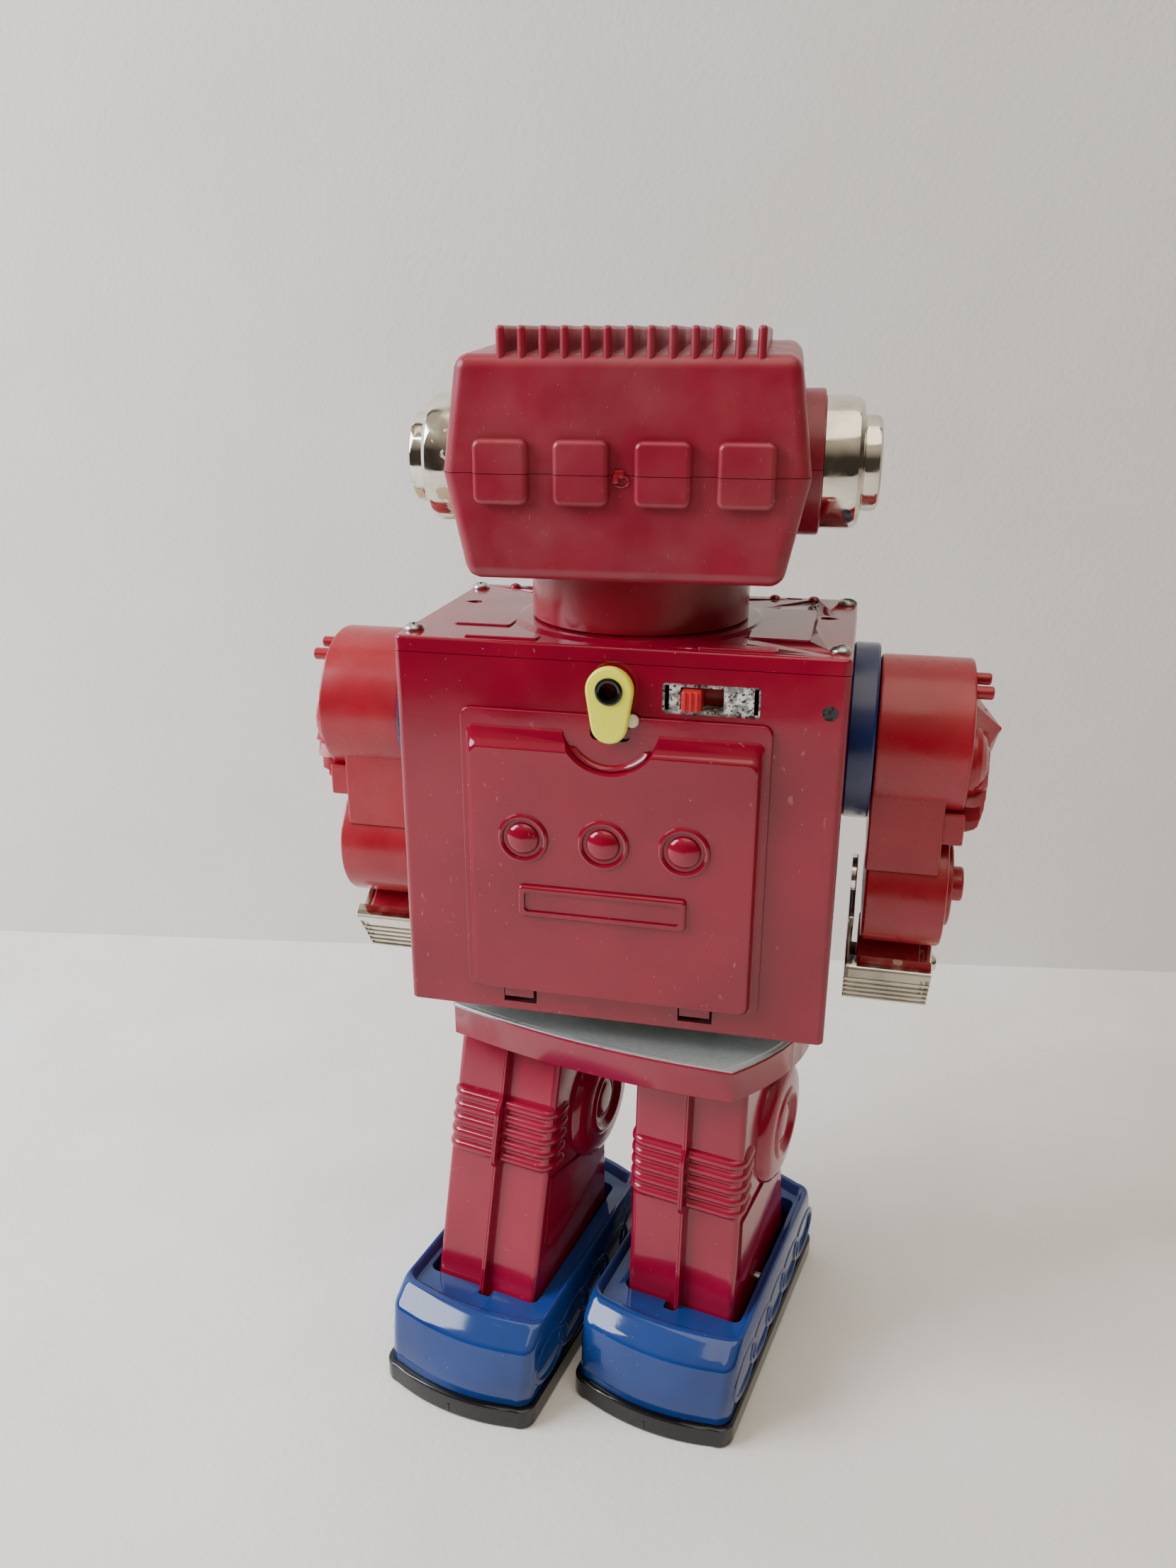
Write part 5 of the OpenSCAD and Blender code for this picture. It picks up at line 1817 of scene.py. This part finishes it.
@dataclass
class Chest:
    """Chest doors, with their pins and the bay behind them."""

    leaf_y: float = -51.4
    pin_x: float = 47.4
    low: float = 190.0
    high: float = 268.0
    middle: float = 229.0
    louvres: int = 4
    louvre_pitch: float = 6.0

    def door(self, side: Side) -> None:
        """One door, with its pressed panel, knuckles and knob.

        Args:
            side: Side of the door.
        """
        half_w, half_h = (self.pin_x - 2.0) / 2, (self.high - self.low + 3) / 2
        leaf = Workpiece.slab(rounded(half_w, half_h, 2), -0.6, 0.6, top=0.4)
        leaf.at(0.4 + half_w, self.middle, 0)
        panel = Workpiece.slab(rounded(16.7, 34, 3), 0, 1.8, top=1.0)
        leaf.join(panel.at(22.7, self.middle, 0))
        for i in range(self.louvres):
            louvre = Workpiece.slab(rounded(11, 1.5, 1.4), 0, 0.8, top=0.7)
            leaf.join(louvre.at(24, 210 + i * self.louvre_pitch, 1.7))
        knob = Workpiece.turned(
            [(1.1, 0), (1.1, 1.2), (2.2, 1.6), (2.3, 2.4), (1.7, 3.2), (0.5, 3.5)], 24
        )
        leaf.join(knob.at(3.4, self.middle, 0.2))
        leaf.place(ON_FRONT).outward().at(0, self.leaf_y, 0)
        for z in (self.low + 2, self.high - 12):
            tube = [(1.25, z), (2.2, z), (2.2, z + 10), (1.25, z + 10), (1.25, z)]
            knuckle = Workpiece.turned(tube, 28, Ends.JOINED)
            leaf.join(knuckle.at(self.pin_x, self.leaf_y, 0))
        name = f"{side.word}_chest_door"
        leaf.settle(
            f"{side.word}_chest_leaf", name, STANCE.arm(side), RED_TIN, "red_tin",
            [name], crisp=True,
        )

    def build(self) -> None:
        """Makes the chest."""
        for side in Side:
            self.door(side)
        dress("chest_door_pins", STEEL)
        dress("chest_bay", MATT_BLACK)


# ------------------------------------------------------------------ hips and legs


@dataclass
class Hips:
    """Painted band with its bare top, and the axles under it."""

    half_w: float = 57.0
    half_d: float = 46.5
    side_bulge: float = 15.8
    end_bulge: float = 4.5
    bottom: float = 138.2
    top: float = 151.5
    body: str = "hips"

    def outline(self, inset: float) -> list[Pair]:
        """Bulged outline at an inset, drawn anticlockwise.

        Args:
            inset: How far inside, in millimetres.

        Returns:
            The points.
        """
        w, d, n = self.half_w - inset, self.half_d - inset, 12
        ends = [1 - 2 * i / n for i in range(n)]
        right = [(w + self.side_bulge * (1 - t * t), -d * t) for t in ends]
        rear = [(w * t, d + self.end_bulge * (1 - t * t)) for t in ends]
        left = [(-x, -y) for x, y in right]
        front = [(-x, -y) for x, y in rear]
        return right + rear + left + front

    def build(self) -> None:
        """Makes the band and the top, and dresses what is under them."""
        steps = (
            (1.1, self.bottom + 1.2), (0.9, self.bottom + 0.3), (0.4, self.bottom),
            (0.0, self.bottom + 0.5), (0.0, self.top - 1.4), (-0.25, self.top - 1.0),
            (0.0, self.top - 0.55), (0.9, self.top - 0.5), (1.0, self.top - 1.2),
            (1.0, self.bottom + 1.2),
        )
        rings = [flat_ring(self.outline(i), z) for i, z in steps]
        band = Workpiece.loft(rings + [rings[0]], Ends.JOINED)
        band.settle(
            "hip_band", self.body, STANCE.hips(), CRIMSON_TIN, "red_tin",
            ["pelvis_shell"], smooth=40,
        )
        z = self.top
        rings = [
            flat_ring(self.outline(i), h)
            for i, h in (
                (1.2, z - 0.9), (0.3, z - 0.8), (0.0, z - 0.4), (0.2, z),
                (0.9, z + 0.15), (1.8, z + 0.05), (2.4, z - 0.45), (3.0, z - 0.5),
            )
        ]
        plate = Workpiece.loft(rings)
        plate.cut(Workpiece.turned([(9.1, z - 5), (9.1, z + 5)], 48))
        plate.settle(
            "hip_top", self.body, STANCE.hips(), TINPLATE, "bare_tin",
            ["pelvis_top_plate"], smooth=40,
        )
        dress("hip_frame", STEEL)
        dress("hip_axle", STEEL)
        dress("crank_axle", BRASS)


@dataclass
class Leg:
    """Leg of two pressed halves, with knee disc, ribs and seam flange."""

    side: Side
    half_w: float = 22.2
    top: float = 4.0
    bottom: float = -121.0
    rear_top: float = 17.8
    rear_bottom: float = 37.2
    knee: Pair = (-19.0, -48.0)
    knee_r: float = 27.0
    rib_top: float = -36.5
    rib_pitch: float = 5.3
    rib_out: float = 0.8
    rib_r: float = 2.5
    rib_turn: float = 4.0
    ribs: int = 5
    flange: float = 3.6
    front_line: tuple[Pair, ...] = (
        (-14, 4), (-29, -25), (-31, -71), (-33, -86), (-37.5, -121),
    )

    def rear(self, z: float) -> float:
        """Place of the plain rear face at a height."""
        share = (self.top - z) / (self.top - self.bottom)
        return self.rear_top + (self.rear_bottom - self.rear_top) * share

    def ribbed(self, z: float, out: float) -> float:
        """Place of the rear face with the pad under its ribs at a height.

        Args:
            z: The height.
            out: How far the pad stands out.

        Returns:
            Place along Y.
        """
        low = self.rib_top - (self.ribs - 0.4) * self.rib_pitch
        high = self.rib_top + 0.6 * self.rib_pitch
        ramp = min(high - z, z - low) / 3
        return self.rear(z) + out * max(0, min(1, ramp))

    def front(self, z: float) -> float:
        """Place of the front face at a height, the knee included.

        Args:
            z: The height.

        Returns:
            Place along Y.
        """
        for (y0, z0), (y1, z1) in zip(self.front_line, self.front_line[1:]):
            if z1 <= z <= z0:
                plain = y0 + (y1 - y0) * (z0 - z) / (z0 - z1)
                break
        reach = self.knee_r**2 - (z - self.knee[1]) ** 2
        if reach <= 0:
            return plain
        return min(plain, self.knee[0] - math.sqrt(reach))

    def section(self, inset: float, out: float) -> list[Pair]:
        """Side view of the leg at an inset, from the rear bottom upwards.

        Args:
            inset: How far inside the outline is.
            out: How far the pad stands out.

        Returns:
            The points.
        """
        low = self.rib_top - self.ribs * self.rib_pitch
        heights = [self.bottom, -105, -90, -76, -68]
        count = 54
        span = self.rib_top + self.rib_pitch - low
        heights += [low + span * i / count for i in range(count + 1)]
        heights += [-24, -12, self.top]
        rear = [(self.ribbed(z, out), z) for z in sorted(set(heights))]
        levels = [self.top - 1.25 * i for i in range(101)]
        levels[-1] = self.bottom
        front = [(self.front(z), z) for z in levels]
        return shrunk(rear + front)(inset)

    def half(self) -> Workpiece:
        """One half, with +X outwards.

        Returns:
            The half.
        """
        steps = (
            (0.35, 0, 1.0), (self.half_w - 2.6, 0, 1.0), (self.half_w - 1.2, 0.25, 0.9),
            (self.half_w - 0.4, 0.9, 0.7), (self.half_w, 2.0, 0.3),
        )
        rings = []
        for x, inset, out in steps:
            points = self.section(inset, self.rib_out * out)
            rings.append([(x, y, z) for y, z in points])
        half = Workpiece.loft(rings)
        half.cut(Workpiece.turned([(2.6, -30), (2.6, 30)], 24).place(ON_SIDE))
        dish = Workpiece.turned(
            [(26, -1), (25.8, 0), (24.6, 2.2), (22.4, 3.8), (20, 4.5), (15.4, 4.6),
             (14.4, 5.4), (13.2, 5.6), (12.2, 5.2), (11, 3.6), (9.4, 2.9), (8, 3.1),
             (7, 3.9), (5.2, 4.3), (1, 4.3)], 64,
        )
        dish.place(ON_SIDE).at(self.half_w, *self.knee)
        half.join(dish)
        for i in range(self.ribs):
            half.join(self.rib(self.rib_top - i * self.rib_pitch))
        plate = [(24.5, -64), (-25, -71), (-28, -80), (20, -97), (27.5, -91)]
        lower = Workpiece.slab(shrunk(plate[::-1]), 0, 1.5, top=0.6)
        half.join(lower.place(ON_SIDE).outward().at(self.half_w - 0.7, 0, 0))
        half.join(self.seam())
        return half

    def rib(self, z: float) -> Workpiece:
        """Round rib that runs across the rear and wraps the corner.

        Args:
            z: Its height.

        Returns:
            The rib.
        """
        turn, side = self.rib_turn, self.half_w - 0.9
        y = self.rear(z) - 0.2
        path = [(1.5, y, 0.0), (side - turn, y, 0.0)]
        path += [
            (side - turn + turn * math.sin(a), y - turn + turn * math.cos(a), a)
            for a in (math.radians(15 * i) for i in range(1, 7))
        ]
        path += [(side, y - turn - 6, math.radians(90))]
        last = len(path) - 1
        stops = [(0, 0.35, -0.1), (0, 0.8, 0.0)]
        stops += [(i, 1, 0) for i in range(len(path))]
        stops += [(last, 0.8, 1.5), (last, 0.35, 2.2)]
        turns = [math.radians(22.5 * k) for k in range(16)]
        rings = []
        for index, grow, step in stops:
            px, py, a = path[index]
            ahead = Vector((math.cos(a), -math.sin(a), 0))
            out = Vector((math.sin(a), math.cos(a), 0))
            up = Vector((0, 0, 1))
            centre, r = Vector((px, py, z)) + ahead * step, self.rib_r * grow
            around = [out * math.cos(b) + up * math.sin(b) for b in turns]
            rings.append([tuple(centre + way * r) for way in around])
        return Workpiece.loft(rings).outward()

    def seam(self) -> Workpiece:
        """Flange of the half along the seam.

        Returns:
            The flange.
        """
        top, bottom = self.top - 6, self.bottom + 1
        count = 60
        heights = [bottom + (top - bottom) * i / count for i in range(count + 1)]
        outer = [
            (self.ribbed(z, 2.2) + self.flange * min(1, (top - z) / 5 + 0.1), z)
            for z in heights
        ]
        inner = [(self.rear(z) - 1, z) for z in reversed(heights)]
        rings = [[(x, y, z) for y, z in outer + inner] for x in (0.08, 0.8)]
        return Workpiece.loft(rings)

    def build(self) -> None:
        """Makes both halves."""
        word = self.side.word
        body = f"{word}_leg"
        outer = self.half()
        inner = outer.copy().place(STANCE.mirror(Side.RIGHT))
        for piece, part in ((outer, "outer"), (inner, "inner")):
            piece.settle(
                f"{word}_leg_{part}_half", body, STANCE.leg(self.side), CRIMSON_TIN,
                "red_tin", [f"{word}_leg_{part}"], smooth=36, crisp=True,
            )
        dress(f"{word}_ankle_pin", STEEL)


@dataclass
class Shoe:
    """Pressed shoe on a moulded sole, with a roller under its toe."""

    side: Side
    half_w: float = 33.0
    heel: float = 65.0
    toe: float = 58.5
    roller_y: float = -34.0
    slot_shift: float = 2.2
    ovals_a_side: int = 5
    oval_pitch: float = 21.0
    oval_start: float = -42.0
    oval_z: float = 19.5

    def outline(
        self, half_w: float, rear: float, front: float, r: float, bulges: Pair
    ) -> list[Pair]:
        """Outline with round corners and bulged ends.

        Args:
            half_w: Half its width.
            rear: Reach of the rear corners.
            front: Reach of the front corners.
            r: Radius of the corners.
            bulges: Bulge of the rear and of the front.

        Returns:
            The points, anticlockwise.
        """
        n, m, x = 6, 12, half_w - r
        ends = [1 - 2 * i / m for i in range(1, m)]
        back = [(x * t, rear + bulges[0] * (1 - t * t)) for t in ends]
        fore = [(-x * t, -front - bulges[1] * (1 - t * t)) for t in ends]
        points = arc((x, rear - r), r, 0, 90, n) + back
        points += arc((-x, rear - r), r, 90, 180, n)
        points += arc((-x, r - front), r, 180, 270, n)
        return points + fore + arc((x, r - front), r, 270, 360, n)

    def shell(self) -> Workpiece:
        """Pressed shoe: wall, rolled bevel, rim, sunk pan and leg slot.

        Returns:
            The shoe without its sole.
        """
        steps = (
            (9.0, 1.7, 2.2, 2.0, 6.2, 3.6), (9.6, 1.5, 2.0, 1.8, 6.3, 3.6),
            (20, 1.25, 3.8, 3.0, 6.0, 3.4), (30.2, 1.1, 5.5, 4.4, 5.8, 3.2),
            (31.8, 1.1, 6.0, 4.7, 5.7, 3.1), (33.0, 1.15, 7.0, 5.1, 5.6, 3.1),
            (34.2, 1.2, 8.6, 5.6, 5.6, 3.0), (37.6, 1.35, 12.7, 7.0, 5.5, 3.0),
            (38.5, 1.6, 13.9, 7.6, 5.4, 3.0), (39.0, 2.1, 14.9, 8.4, 5.2, 2.9),
            (38.9, 2.8, 16.0, 9.4, 5.0, 2.8), (38.3, 3.5, 17.1, 10.4, 4.6, 2.6),
            (36.2, 4.1, 18.1, 11.3, 4.2, 2.5), (35.2, 4.6, 18.8, 12.0, 4.0, 2.4),
            (35.0, 5.4, 19.8, 12.9, 3.6, 2.2),
        )
        rings = []
        for z, inset, back, fore, r, bulge in steps:
            half_w, rear, front = self.half_w - inset, self.heel - back, self.toe - fore
            rings.append(flat_ring(self.outline(half_w, rear, front, r, (bulge, 6)), z))
        for grow, z in ((0.5, 35.0), (0.1, 34.8), (0.0, 34.3), (0.0, 28)):
            ring = self.outline(24.4 + grow, 36.6 + grow, 43 + grow, 3.2, (0, 0))
            rings.append([(x + self.slot_shift, y, z) for x, y in ring])
        shell = Workpiece.loft(rings, Ends.OPEN)
        shell.apply("SOLIDIFY", thickness=0.9, offset=-1)
        notch = Workpiece.slab(rounded(2.7, 5, 1, 3), 20, 45)
        shell.cut(notch.at(-1.0, 36, 0))
        return shell

    def ovals(self) -> list[Workpiece]:
        """Overlapping oval beads pressed into both sides.

        Returns:
            The beads.
        """
        out = []
        first = Workpiece.bead(13.5, 8.6, 1.7, 44).place(ON_SIDE).outward()
        first.place(Matrix.Diagonal((0.5, 1, 1, 1)))
        for i in range(self.ovals_a_side):
            y = self.oval_start + self.oval_pitch * i
            for way in Side:
                oval = first.copy().at(31.45, y, self.oval_z)
                out.append(oval.place(STANCE.mirror(way)))
        bpy.data.objects.remove(first.obj)
        return out

    def sole(self) -> Workpiece:
        """Moulded sole, its rim stepped up inside the shoe.

        Returns:
            The sole with its bearing blocks.
        """

        def ring(inset: float, z: float) -> Ring:
            """Outline of the sole at an inset and a height.

            Args:
                inset: How far inside the outline is.
                z: The height.

            Returns:
                The ring.
            """
            points = self.outline(
                self.half_w - inset, self.heel - inset, self.toe - inset, 6.5, (4.1, 6)
            )
            return flat_ring(points, z)

        sole = Workpiece.loft(
            [ring(0.7, 0), ring(0.15, 0.5), ring(0, 1.2), ring(0, 8.0), ring(0.15, 8.6),
             ring(0.6, 9), ring(1.5, 9.05), ring(3.5, 9), ring(3.5, 11.5)]
        )
        well = Workpiece.slab(rounded(6, 11, 1), -2, 20)
        sole.cut(well.at(0, self.roller_y, 0))
        blocks = [
            Workpiece.box((x0, -5, 2), (x1, 5, 30.6)).bevel(0.6, 2)
            for x0, x1 in ((-29, -22.4), (24.8, 29))
        ]
        nick = Workpiece.box((-0.5, 68.4, 1.5), (0.5, 69.4, 5)).bevel(0.2, 2)
        return sole.join(*blocks, nick)

    def build(self) -> None:
        """Makes the shoe."""
        word = self.side.word
        where = STANCE.shoe(self.side)
        shell = self.shell().join(*self.ovals())
        shell.settle(
            f"{word}_shoe_upper", f"{word}_shoe", where, BLUE_TIN, "blue_tin",
            [f"{word}_shoe_shell"], smooth=40,
        )
        self.sole().settle(
            f"{word}_shoe_base", f"{word}_shoe", where, BLACK, "black_plastic",
            [f"{word}_shoe_sole"], smooth=36, crisp=True,
        )
        dress(f"{word}_roller", STEEL)


# ------------------------------------------------------------------ arms


@dataclass
class Arm:
    """Moulded arm with its ring, shoulder ornament and plated hand."""

    side: Side
    y: float = -4.9
    z: float = 262.5
    wrist: float = 205.0
    inner: float = 86.6
    outer: float = 118.9
    drum_r: float = 28.2
    wrist_r: float = 24.0
    badge: Pair = (-3.0, -12.5)
    badge_r: float = 23.5
    teeth: int = 20
    hand_in: float = 82.4
    hand_out: float = 114.4
    hand_ribs: int = 5
    hand_rib_pitch: float = 3.7

    def along(self, profile: Sequence[Pair], z: float, count: int = 72) -> Workpiece:
        """Shape turned about the line of the shoulder or the wrist.

        Args:
            profile: Radius and place along X of each step.
            z: Height of the line.
            count: Sides round it.

        Returns:
            The piece.
        """
        return Workpiece.turned(profile, count).place(ON_SIDE).at(0, self.y, z)

    def limb(self) -> Workpiece:
        """Arm from the shoulder drum to the fork.

        Returns:
            The arm.
        """
        a, b, r, w = self.inner, self.outer, self.drum_r, self.wrist_r
        drum = self.along(
            [(8, 73.4), (8, a), (r - 1.4, a), (r - 0.4, a + 0.4), (r, a + 1.4),
             (r, b - 1.4), (r - 0.4, b - 0.4), (r - 1.4, b), (4, b)], self.z, 96,
        )
        elbow = Workpiece.box(
            (a, self.y - 22, 216.5), (112.3, self.y + 22, 246)
        ).bevel(0.9, 3)
        stub = Workpiece.box((110, self.y + 8, 228), (119.4, self.y + 20, 240))
        stub.bevel(0.8, 3)
        wrist = self.along(
            [(5, a), (w - 1, a + 0.6), (w, a + 1.6), (w, 114.8), (w - 0.4, 115.7),
             (w - 1.4, 116), (16.6, 116), (16.2, 116.3), (16, 117.8), (15.4, 118.3),
             (7.0, 118.3), (6.5, 118.8), (6.5, 122.2), (6.1, 122.8), (5.4, 123),
             (1, 123)], self.wrist, 96,
        )
        hub = self.along([(12, 73.4), (12, 75.4), (8, 75.4), (8, 73.4)], self.z, 40)
        fork = Workpiece.box((a, 6, -34), (110, 26, -17)).bevel(0.8, 3)
        slot = Workpiece.box((a + 3.5, 20, -24.5), (105.5, 30, -22.2))
        groove = Workpiece.box((a + 3.5, 24.6, -31), (106, 30, -29.6))
        fork.cut(slot, groove).place(STANCE.hand(Side.LEFT))
        fork.place(STANCE.torso().inverted())
        return drum.join(elbow, stub, wrist, hub, fork)

    def ornament(self) -> Workpiece:
        """Toothed shoulder ornament with its peak, dome and pegs.

        Returns:
            The ornament.
        """

        def star(r: float, depth: float, x: float) -> Ring:
            """Ring of pointed teeth.

            Args:
                r: Radius of the tips.
                depth: Depth of the teeth.
                x: Place of the ring.

            Returns:
                The ring.
            """
            ring = []
            for i in range(2 * self.teeth):
                turn, reach = math.pi * i / self.teeth, r - depth * (i % 2)
                ring.append((x, math.cos(turn) * reach, math.sin(turn) * reach))
            return ring

        r = self.badge_r
        crown = Workpiece.loft(
            [star(r - 2.6, 1.0, 113.7), star(r - 0.2, 3.4, 115.2), star(r, 4.2, 121.5),
             star(r - 1.2, 4.0, 124.6), star(r - 5.4, 1.2, 126)]
        )
        crown.at(0, *self.badge)
        drum_r, wrist_r = self.drum_r + 0.02, self.wrist_r + 0.3
        drum = Workpiece.turned([(drum_r, 100), (drum_r, self.outer)], 96)
        wrist = Workpiece.turned([(wrist_r, 100), (wrist_r, 116.3)], 96)
        crown.cut(drum.place(ON_SIDE))
        crown.cut(wrist.place(ON_SIDE).at(0, 0, self.wrist - self.z))
        y, z = self.badge
        peak = [
            [(x, y + 2 * (x < 124) + s * math.cos(t), z + dz + s * math.sin(t))
             for t in (math.pi / 3 * k for k in range(6))]
            for x, s, dz in ((119.2, 23.6, 8), (120.4, 21.5, 8), (124.5, 13, 10.5),
                             (129.6, 1.6, 15.2), (130.4, 0.5, 15.5))
        ]
        crown.join(Workpiece.loft(peak))
        dome = Workpiece.turned(
            [(13, 0), (12.6, 2.2), (11.4, 4), (9, 5.6), (5.6, 6.6), (1, 7)], 40
        )
        crown.join(dome.place(ON_SIDE).at(self.outer - 0.4, 10.5, -5))
        for r_peg, h, dy, dz in ((2.3, 5.6, 14.5, 20.5), (2.1, 5.0, 7.5, 23.6)):
            peg = Workpiece.turned(
                [(r_peg, -0.5), (r_peg, h - 0.5), (r_peg - 0.5, h)], 24
            )
            crown.join(peg.place(ON_SIDE).at(self.outer, dy, dz))
        return crown.at(0, self.y, self.z)

    def ring(self) -> Workpiece:
        """Ring between body and arm, faintly faceted.

        Returns:
            The ring.
        """
        profile = [
            (8.1, 76.9), (31.2, 76.9), (31.9, 77.6), (31.9, 85.4), (31.2, 86.2),
            (8.1, 86.2),
        ]
        ring = self.along(profile, self.z, 32)
        return ring.cut(self.along([(8.05, 70), (8.05, 95)], self.z, 48))

    def claw(self) -> Workpiece:
        """Plated hand, in its own frame.

        Returns:
            The hand.
        """
        x0, x1 = self.hand_in, self.hand_out
        back = Workpiece.box((x0, 28.7, -41), (x1, 31.5, -15)).bevel(0.5, 3)
        parts = [
            Workpiece.box((x0, 8, -41), (x1, 31.5, -38.2)),
            Workpiece.box((x0, 26.3, -17.5), (x1, 31.5, -15)),
            Workpiece.box((x0, 8, -41), (84.4, 31.5, -15)),
            Workpiece.box((x0, -6, -26), (84.4, 20, 2)),
            Workpiece.box((112, 14, -41), (x1, 31.5, -20)),
            Workpiece.box((110.2, 14, -33), (112.1, 31.5, -20.6)),
        ]
        parts = [part.bevel(0.4, 2) for part in parts]
        for i in range(self.hand_ribs):
            rib = Workpiece.slab(rounded(16, 0.55, 0.5, 3), -0.3, 0.6, top=0.4, steps=3)
            rib.place(ON_REAR).outward()
            parts.append(rib.at((x0 + x1) / 2, 31.5, -24.6 - i * self.hand_rib_pitch))
        pad = Workpiece.turned([(8, 0), (8, 1.6), (7.6, 2)], 40).place(ON_SIDE)
        return back.join(*parts, pad.at(x0, 0, 0))

    def build(self) -> None:
        """Makes the arm."""
        word = self.side.word
        body = f"{word}_arm"
        where, hand = STANCE.arm(self.side), STANCE.hand(self.side)
        self.ring().settle(
            f"{word}_navy_ring", "torso", where, NAVY, "navy_plastic",
            [f"{word}_shoulder_ring"], smooth=30, crisp=True,
        )
        self.limb().settle(
            f"{word}_limb", body, where, ARM_RED, "red_plastic", [f"{word}_arm"],
            smooth=32, crisp=True,
        )
        self.ornament().settle(
            f"{word}_ornament", body, where, ARM_RED, "red_plastic",
            [f"{word}_shoulder_badge"], smooth=22, crisp=True,
        )
        self.claw().settle(
            f"{word}_claw", body, hand, CHROME, "plated_plastic", [f"{word}_hand"],
            crisp=True,
        )
        screw = Workpiece.turned(
            [(1.5, -8), (1.5, 0), (3.3, 0), (3.4, 0.4), (3.0, 1.4), (2.3, 2.1),
             (1, 2.3)], 28,
        )
        screw.cut(Workpiece.slab(rounded(2.2, 0.4, 0.3, 2), 1.2, 5))
        screw.place(ON_SIDE).at(self.hand_out, 20, -27)
        screw.settle(
            f"{word}_claw_screw", body, hand, CHROME, "plated_plastic",
            [f"{word}_hand_screw"],
        )


# ------------------------------------------------------------------ robot


def main() -> None:
    """Builds the stage and then the robot, part by part."""
    logging.basicConfig(level=logging.INFO, format="%(message)s")
    Studio().build()
    parts = [Head(), Body(), BatteryDoor(), SlideSwitch(), Power(), Chest(), Hips()]
    parts += [kind(side) for kind in (Leg, Shoe, Arm) for side in Side]
    for part in parts:
        part.build()


if __name__ == "__main__":
    main()
